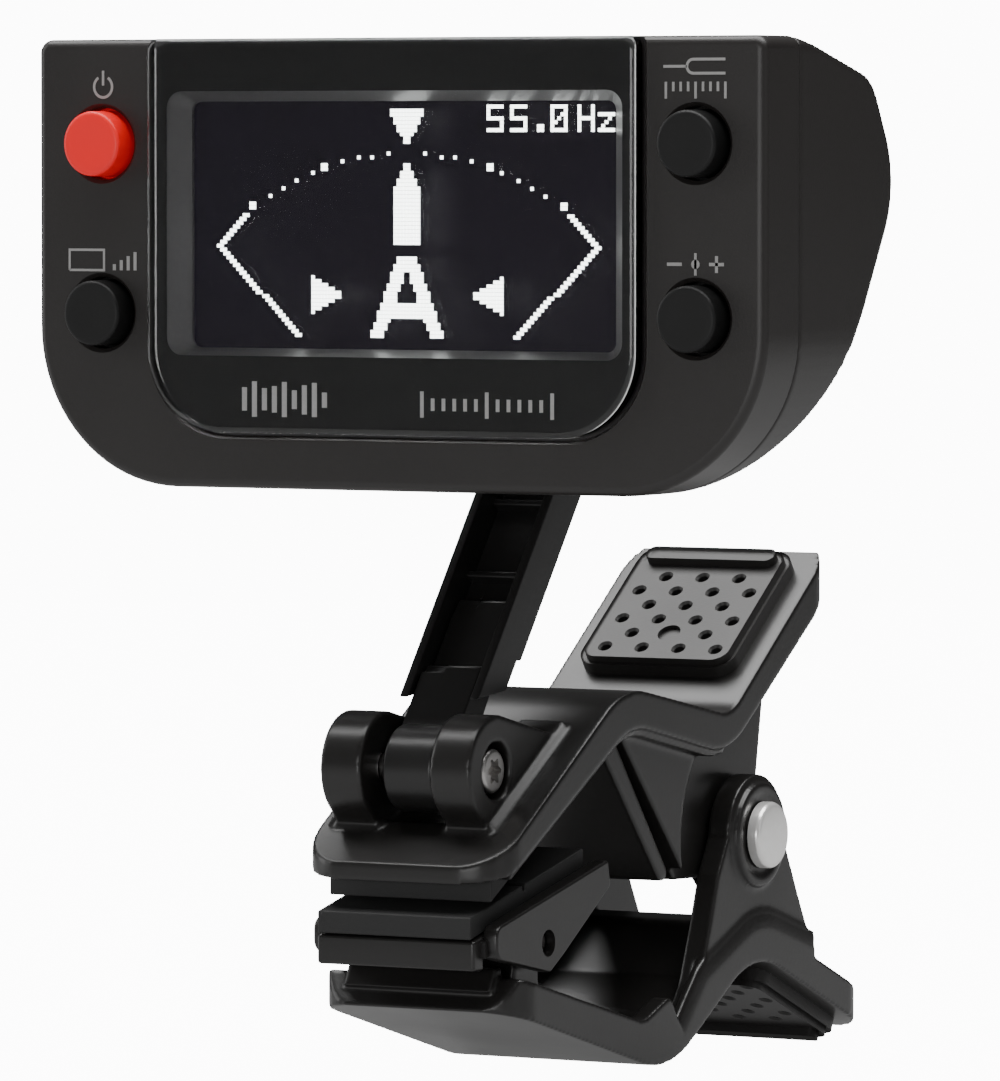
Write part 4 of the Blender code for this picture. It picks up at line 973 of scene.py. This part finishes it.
def clevis_foot(side):
    """The chamfered foot under one ear."""
    outline = [(-4.6, crease_z(-4.6) - 0.8), (7.3, crease_z(7.3) - 0.8), (7.3, crease_z(7.3) + 0.6),
               (-4.6, crease_z(-4.6) + 0.6)]
    ends = sorted((HEAD_X + side * (EAR_INNER - 0.5), HEAD_X + side * (EAR_OUTER + 0.7)))
    return soften(prism("foot", outline, "X", *ends), 0.5, 1)


def web_outline():
    """The upper lever's web in the side view."""
    return rounded([(11.2, 9.9, 0.0), (23.9, -3.7, 0.5), (29.6, -3.9, 2.0), (PIVOT_Y, PIVOT_Z - 4.4, 3.0),
                    (PIVOT_Y + 3.9, PIVOT_Z - 1.6, 3.0), (PIVOT_Y + 4.2, PIVOT_Z + 4.3, 1.0),
                    (39.4, 14.8, 0.0), (35.0, 12.2, 0.0), (28.4, 8.0, 0.0), (20.4, 9.4, 0.0), (14.0, 10.4, 0.0)])


def web_front():
    """The thicker part of a web, in front of the lower lever's ear."""
    edge = arc(PIVOT_Y, PIVOT_Z, SWEEP_RADIUS, 192, 104, 40)
    return [(11.2, 9.9)] + edge + [(30.6, 9.7), (28.4, 8.2), (20.4, 9.4), (14.0, 10.4)]


def upper_lever():
    """The upper lever: sloping jaw, raised back and finger plate, with webs down to the pivot."""
    top = rounded(UPPER_TOP, 14, closed=False)
    low = rounded(UPPER_LOW, 14, closed=False)
    lever = prism("upper_lever_body", top + low[::-1], "X", -CLIP_HALF, CLIP_HALF)
    keep_inside(lever, plan_view(-7.9, 45.6, 3.6, 3.4))
    ceiling = offset_path(top, -1.7)
    ceiling = [(-6.2, ceiling[0][1] + 1.1)] + ceiling[1:-1] + [(42.4, ceiling[-1][1] - 0.8)]
    pocket = ceiling + [(42.4, 12.0), (30.0, 2.0), (12.0, 2.0), (-6.2, -6.0)]
    cut(lever, prism("pocket", pocket, "X", -CLIP_HALF + CLIP_WALL, CLIP_HALF - CLIP_WALL))
    lip = low[12:-8] + offset_path(low, -0.55)[12:-8][::-1]
    for side in (-1, 1):
        join(lever, clevis_foot(side), clevis_ear(side))
        join(lever, flank("web", web_outline(), side, WEB_INNER, WEB_OUTER))
        join(lever, flank("web_front", web_front(), side, WEB_OUTER - 0.3, WEB_FACE))
        join(lever, flank("lip", lip, side, CLIP_HALF - 2.0, CLIP_HALF - 0.4))
    diaphragm = rounded([(8.4, 9.0, 0.0), (19.3, -3.4, 0.6), (21.2, -3.5, 0.6), (10.8, 9.4, 0.0)], 4)
    join(lever, prism("diaphragm", diaphragm, "X", -WEB_FACE, WEB_FACE))
    knuckle = (HEAD_X, KNUCKLE_Y, KNUCKLE_Z)
    cut(lever, rod("knuckle_bore", KNUCKLE_BORE, knuckle, "X", -EAR_OUTER + 1.0, 8))
    cut(lever, rod("head_sink", 2.1, knuckle, "X", EAR_OUTER - 1.4, 8))
    cut(lever, rod("pivot_bore", PIVOT_BORE, PIVOT, "X", -12, 12))
    cut(lever, rod("knuckle_room", 4.0, knuckle, "X", -EAR_INNER, EAR_INNER))
    return dress(mould(lever), "clip", "upper_lever", ["upper_lever"], sharp=60)


def grip_groove(split, low, high):
    """The cutter for the groove in front of a grip's rear land."""
    return block("groove", (-CLIP_HALF, split - GRIP_GROOVE, low), (CLIP_HALF, split, high))


def upper_grip():
    """The rubber under the upper jaw, with a groove across its grip face."""
    front, back = -5.7, 8.6
    roof = 1.7 / math.cos(math.radians(32)) + 0.2
    slope = math.tan(GRIP_SLOPE)
    outline = [(front, front * slope), (back, back * slope), (back, crease_z(back) - roof - 0.7),
               (front, crease_z(front) - roof)]
    pad = prism("upper_rubber", outline, "X", -CLIP_HALF + 1.7, CLIP_HALF - 1.7)
    z = GRIP_SPLIT * slope
    cut(pad, grip_groove(GRIP_SPLIT, z - 1, z + 0.4))
    soften(pad, 0.12, 2)
    return dress(pad, "grip", "upper_lever", ["upper_grip_pad"])


def finger_pad(name, start, end, outward, first, last, body, node):
    """A soft pad on a handle's outer face: a stepped rim, rows of blind holes and a bar at its tip."""
    origin = Vector(start)
    along = (Vector(end) - origin).normalized()
    out = Vector((-along.y, along.x)) * outward

    def place(u, v, w):
        point = origin + along * v + out * w
        return (u, point.x, point.y)

    def base(inset):
        return rectangle(FINGER_HALF - inset, first + inset, last - inset, PAD_CORNER - inset, 10)

    def cap(inset):
        return base(inset + 0.45)

    def tip_bar(inset):
        return rectangle(5.6 - inset, last - 2.15 + inset, last - 0.7 - inset, 0.65 - inset)

    pad = rimmed(name, base, place, 0.75, 0.0, 0.25)
    join(pad, rimmed("cap", cap, place, 1.15, 0.2, 0.3))
    for row in range(6):
        v = PAD_MIDDLE + (row - 2.5) * HOLE_ROW
        for column in range(4 if row % 2 == 0 else 3):
            u = (column - (1.5 if row % 2 == 0 else 1.0)) * HOLE_PITCH
            if row == 1 and column == 1:
                cut(pad, prism("dimple", circle(u, v + 0.1, 0.92, 32), place, 0.80, 3))
                continue
            narrow = circle(u, v, 0.42, 24)
            cut(pad, loft("hole", [(narrow, 0.3), (narrow, 0.95), (circle(u, v, 0.72, 24), 1.31)], place))
    join(pad, rimmed("bar", tip_bar, place, 1.55, 0.8, 0.3))
    return dress(pad, "pad", body, [node], sharp=32)


def cheek_outline():
    """One ear of the lower lever in the side view."""
    head = arc(PIVOT_Y, PIVOT_Z, 4.6, -8, 178, 32)
    foot = [(26.9, -3.5), (25.6, -7.2), (23.9, -11.4), (22.6, -13.2), (30.0, -11.0), (33.4, -9.0),
            (42.2, -11.6), (42.3, -9.7), (40.2, -6.0)]
    return head + foot


def lower_lever():
    """The lower lever: a trough-shaped jaw, a neck and a finger plate, with ears up to the pivot."""
    low = rounded(LOWER_LOW, 16, closed=False)
    wall = rounded(JAW_WALL, 10, closed=False)
    band = rounded(LOWER_BAND, 12, closed=False)
    handle = rounded(LOWER_HANDLE, 4, closed=False)
    outline = low + handle[::-1] + band[::-1] + wall[::-1]
    lever = prism("lower_lever_body", outline, "X", -CLIP_HALF, CLIP_HALF)
    keep_inside(lever, plan_view(-5.4, 51.5, 3.4, 3.4))
    floor = offset_path(low, 1.8)
    floor = [(-2.9, floor[0][1] - 0.6)] + floor[1:-1] + [(41.6, -11.9)]
    pocket = floor + [(41.6, 0.0), (-2.9, 0.0)]
    cut(lever, prism("trough", pocket, "X", -CLIP_HALF + CLIP_WALL, CLIP_HALF - CLIP_WALL))
    for side in (-1, 1):
        join(lever, flank("cheek", cheek_outline(), side, CHEEK_INNER, CHEEK_OUTER))
        for rise, face in FLARE:
            strip = band + offset_path(band, rise)[::-1]
            join(lever, flank("flare", strip, side, FLARE_INNER, face))
        ends = sorted((side * (CHEEK_INNER + 0.5), side * (CLIP_HALF + 0.2)))
        join(lever, rod("ring", 4.0, PIVOT, "X", *ends, 96))
        ends = sorted((side * (CLIP_HALF + 0.05), side * 12))
        cut(lever, rod("ring_step", 3.2, PIVOT, "X", *ends))
        lug = [(ROCKER_Y - 2.4, -11.6)] + arc(ROCKER_Y, ROCKER_Z, 1.65, 190, -10, 20)
        lug.append((ROCKER_Y + 2.4, -12.6))
        join(lever, flank("lug", lug, side, LUG_INNER, LUG_OUTER))
    join(lever, block("bridge", BRIDGE_LOW, BRIDGE_HIGH))
    join(lever, prism("saddle", rounded(SADDLE), "X", -CHEEK_INNER - 0.3, CHEEK_INNER + 0.3))
    sill = [(-5.0, -9.8), (-4.0, -8.1), (-2.9, -8.1), (-2.9, -9.8)]
    join(lever, prism("sill", sill, "X", -FLANGE_INNER + GAP, FLANGE_INNER - GAP))
    cut(lever, rod("pivot_bore", PIVOT_BORE, PIVOT, "X", -12, 12))
    cut(lever, rod("rocker_bore", ROCKER_BORE, ROCKER, "X", -7.2, 7.2, 32))
    return dress(mould(lever), "clip", "lower_lever", ["lower_lever"], sharp=60)


def spring():
    """The clip's spring: a coil round the pivot pin with a leg to each handle."""
    radius, wire, turns, steps, half = 2.7, 0.45, 4, 32, 3.2
    upper_leg, lower_leg = math.radians(62), math.radians(-42)
    start = upper_leg + math.pi / 2
    path = [(-half, PIVOT_Y + radius * math.cos(start) + 6.0 * math.cos(upper_leg),
             PIVOT_Z + radius * math.sin(start) + 6.0 * math.sin(upper_leg))]
    sweep = 2 * math.pi * turns + (lower_leg - math.pi / 2 - start) % (2 * math.pi)
    count = turns * steps + 20
    for step in range(count + 1):
        angle = start + sweep * step / count
        path.append((-half + 2 * half * step / count, PIVOT_Y + radius * math.cos(angle),
                     PIVOT_Z + radius * math.sin(angle)))
    end = path[-1]
    path.append((half, end[1] + 8.0 * math.cos(lower_leg), end[2] + 8.0 * math.sin(lower_leg)))
    coil = tube_along("spring_coil", path, wire)
    return dress(coil, "spring", "lower_lever", ["torsion_spring"])


def rocker_z(y):
    """Height of the rocker's grip face."""
    return -4.1 + (y + 8.1) * math.tan(ROCKER_SLOPE)


def rocker():
    """The self-aligning jaw: a bed for its rubber with a side plate at each end."""
    seat = 1.8
    bed = [(-7.9, rocker_z(-7.9) - seat), (8.6, rocker_z(8.6) - seat), (8.6, rocker_z(8.6) - seat - 0.85),
           (-6.4, rocker_z(-6.4) - seat - 0.85), (-6.4, -8.1), (-7.9, -8.0)]
    jaw = soften(prism("rocker_body", bed, "X", -FLANGE_INNER - 0.1, FLANGE_INNER + 0.1), 0.25, 3)
    link = [(-5.2, rocker_z(-5.2) - seat - 0.2), (8.3, rocker_z(8.3) - seat - 0.2),
            (8.3, rocker_z(8.3) - seat - 0.7), (-5.2, rocker_z(-5.2) - seat - 0.7)]
    join(jaw, prism("link", link, "X", -FLANGE_INNER - 0.4, FLANGE_INNER + 0.4))
    apron = [(-6.9, rocker_z(-6.9) - seat - 0.3), (-1.8, rocker_z(-1.8) - seat - 0.3),
             (-1.8, rocker_z(-1.8) - seat - 1.5), (-6.9, rocker_z(-6.9) - seat - 1.5)]
    join(jaw, prism("apron", apron, "X", -FLANGE_INNER - 0.5, FLANGE_INNER + 0.5))
    flange = [(-6.5, -4.9, 0.9), (10.4, -1.1, 0.3), (10.8, -3.1, 0.5), (3.7, -7.6, 1.0), (1.6, -8.8, 0.6),
              (-6.5, -7.2, 1.0)]
    for side in (-1, 1):
        join(jaw, soften(flank("flange", rounded(flange, 5), side, FLANGE_INNER, FLANGE_OUTER), 0.22, 3))
    cut(jaw, rod("rocker_bore", ROCKER_BORE, ROCKER, "X", -10, 10, 32))
    return dress(jaw, "clip", "rocker", ["rocker_jaw"])


def rocker_grip():
    """The rubber on the rocker, with a groove across its grip face."""
    thick = 1.65
    outline = [(-8.1, rocker_z(-8.1)), (8.9, rocker_z(8.9)), (8.9, rocker_z(8.9) - thick),
               (-8.1, rocker_z(-8.1) - thick)]
    pad = prism("rocker_rubber", outline, "X", -FLANGE_INNER + 0.06, FLANGE_INNER - 0.06)
    z = rocker_z(ROCKER_SPLIT)
    cut(pad, grip_groove(ROCKER_SPLIT, z - 0.5, z + 1))
    soften(pad, 0.15, 3)
    return dress(pad, "grip", "rocker", ["rocker_grip_pad"])


# CAD nodes that stay as they are

def finish_node(node, finish):
    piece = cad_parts[node]
    piece.data.materials.clear()
    piece.data.materials.append(FINISHES[finish])


def finish_inside():
    """Finishes the pieces inside the housing and the pins."""
    kept = {"circuit_board": ("board", "circuit_board"), "battery_cell": ("jacket", "cell_jacket"),
            "contact_plate": ("screw", "spring_steel"), "contact_spring": ("spring", "spring_steel"),
            "piezo_sensor": ("brass", "sensor_brass"), "power_switch": ("screw", "switch_metal"),
            "display_switch": ("screw", "switch_metal"), "tuning_switch": ("screw", "switch_metal"),
            "calibration_switch": ("screw", "switch_metal"), "swivel_washer": ("spring", "spring_steel"),
            "rocker_pin": ("spring", "pin_steel")}
    for node, (finish, slot) in kept.items():
        finish_node(node, finish)


# Stage

def area_light(name, place, target, size, power, colour=(1.0, 1.0, 1.0)):
    data = bpy.data.lights.new(name, "AREA")
    data.shape = "RECTANGLE"
    data.size, data.size_y = size
    data.energy = power
    data.color = colour
    lamp = bpy.data.objects.new(name, data)
    lamp.location = place
    lamp.rotation_mode = "QUATERNION"
    lamp.rotation_quaternion = (Vector(target) - Vector(place)).to_track_quat("-Z", "Y")
    bpy.context.scene.collection.objects.link(lamp)


def eye_level(nodes, links, unseen, seen):
    """A value that is unseen for the light on the object and seen for what the eye meets directly."""
    path = nodes.new("ShaderNodeLightPath")
    return between(nodes, links, path.outputs["Is Camera Ray"], unseen, seen)


def stage():
    """A round white floor under the object."""
    rim = circle(0, 0, FLOOR_RADIUS, 96)
    floor = add_object("floor", [(x, y, FLOOR_Z) for x, y in rim], [tuple(range(96))])
    finish, nodes, links, shader = shader_of("floor_white", (0.16, 0.16, 0.16), 0.9)
    shader.inputs["Emission Color"].default_value = (1.0, 1.0, 1.0, 1.0)
    links.new(eye_level(nodes, links, 0.40, 12.0), shader.inputs["Emission Strength"])
    floor.data.materials.append(finish)


def light():
    """White surroundings that the eye sees brighter than the object does, and soft boxes round it."""
    world = bpy.data.worlds.new("studio")
    world.use_nodes = True
    nodes, links = world.node_tree.nodes, world.node_tree.links
    background = nodes["Background"]
    background.inputs["Color"].default_value = (1.0, 1.0, 1.0, 1.0)
    links.new(eye_level(nodes, links, 0.06, 12.0), background.inputs["Strength"])
    bpy.context.scene.world = world
    centre = (0.0, 0.01, 0.02)
    area_light("top", (0.0, 0.05, 0.75), centre, (1.2, 0.6), 17.0)
    area_light("left", (-0.75, -0.25, 0.25), centre, (0.4, 0.6), 2.0)
    area_light("right", (0.85, -0.1, 0.2), centre, (0.3, 0.6), 0.3)
    area_light("front", (0.15, -0.95, 0.06), centre, (0.7, 0.25), 2.8)


def camera():
    """The view of the object from its front and right, a little above it."""
    level = math.cos(CAMERA_ELEVATION)
    back = Vector((math.sin(CAMERA_AZIMUTH) * level, -math.cos(CAMERA_AZIMUTH) * level,
                   math.sin(CAMERA_ELEVATION)))
    data = bpy.data.cameras.new("camera")
    data.lens = CAMERA_LENS
    data.sensor_width = 36.0
    data.clip_start = 0.01
    data.clip_end = 20.0
    eye = bpy.data.objects.new("camera", data)
    eye.location = Vector(CAMERA_TARGET) * MM + back * CAMERA_DISTANCE * MM
    eye.rotation_mode = "QUATERNION"
    eye.rotation_quaternion = (-back).to_track_quat("-Z", "Y")
    bpy.context.scene.collection.objects.link(eye)
    bpy.context.scene.camera = eye


# Assembly

case_front()
case_rear()
battery_door()
lens()
lens_mask()
bezel()
panel()
screen_dots()
button("power", -BUTTON_X, BUTTON_HIGH, "red")
button("display", -BUTTON_X, BUTTON_LOW, "black")
button("tuning", BUTTON_X, BUTTON_HIGH, "black")
button("calibration", BUTTON_X, BUTTON_LOW, "black")
housing_marks()
lens_marks()
for name, x in (("case_screw_left", -SCREW_X), ("case_screw_right", SCREW_X)):
    headed_screw(name + "_head", (x, 0, SCREW_Z), "Y", SEAM + 2.55, 1.0, 1.8, 0.9, 5.0, "cross",
                 "head", [name])
swivel_yoke()
headed_screw("swivel_screw_head", (0, 0, SWIVEL_Z), "Y", BOSS_BACK + 2.9, 1.5, 2.6, 0.9, 5.5, "cross",
             "yoke", ["swivel_screw"])
domed_pin("tilt_pin_ends", 1.2, 2.1, 0.7, YOKE_OUTER + 0.1, TILT, "screw", "yoke", "tilt_pin")
arm_channel()
arm_core()
headed_screw("arm_screw_head", (HEAD_X, KNUCKLE_Y, KNUCKLE_Z), "X", EAR_OUTER - 0.2, 1.0, 1.65, 1.2, 9.2,
             "star", "upper_lever", ["arm_screw"])
upper_lever()
upper_grip()
finger_pad("upper_pad", UPPER_TOP[2][:2], UPPER_TOP[3][:2], 1, 4.2, 18.4, "upper_lever", "upper_finger_pad")
lower_lever()
finger_pad("lower_pad", LOWER_LOW[2][:2], LOWER_LOW[3][:2], -1, 4.4, 19.0, "lower_lever",
           "lower_finger_pad")
domed_pin("pivot_pin_ends", 1.5, 2.55, 1.0, CLIP_HALF + 0.2, PIVOT, "steel", "lower_lever",
          "pivot_pin")
spring()
rocker()
rocker_grip()
finish_inside()
stage()
light()
camera()
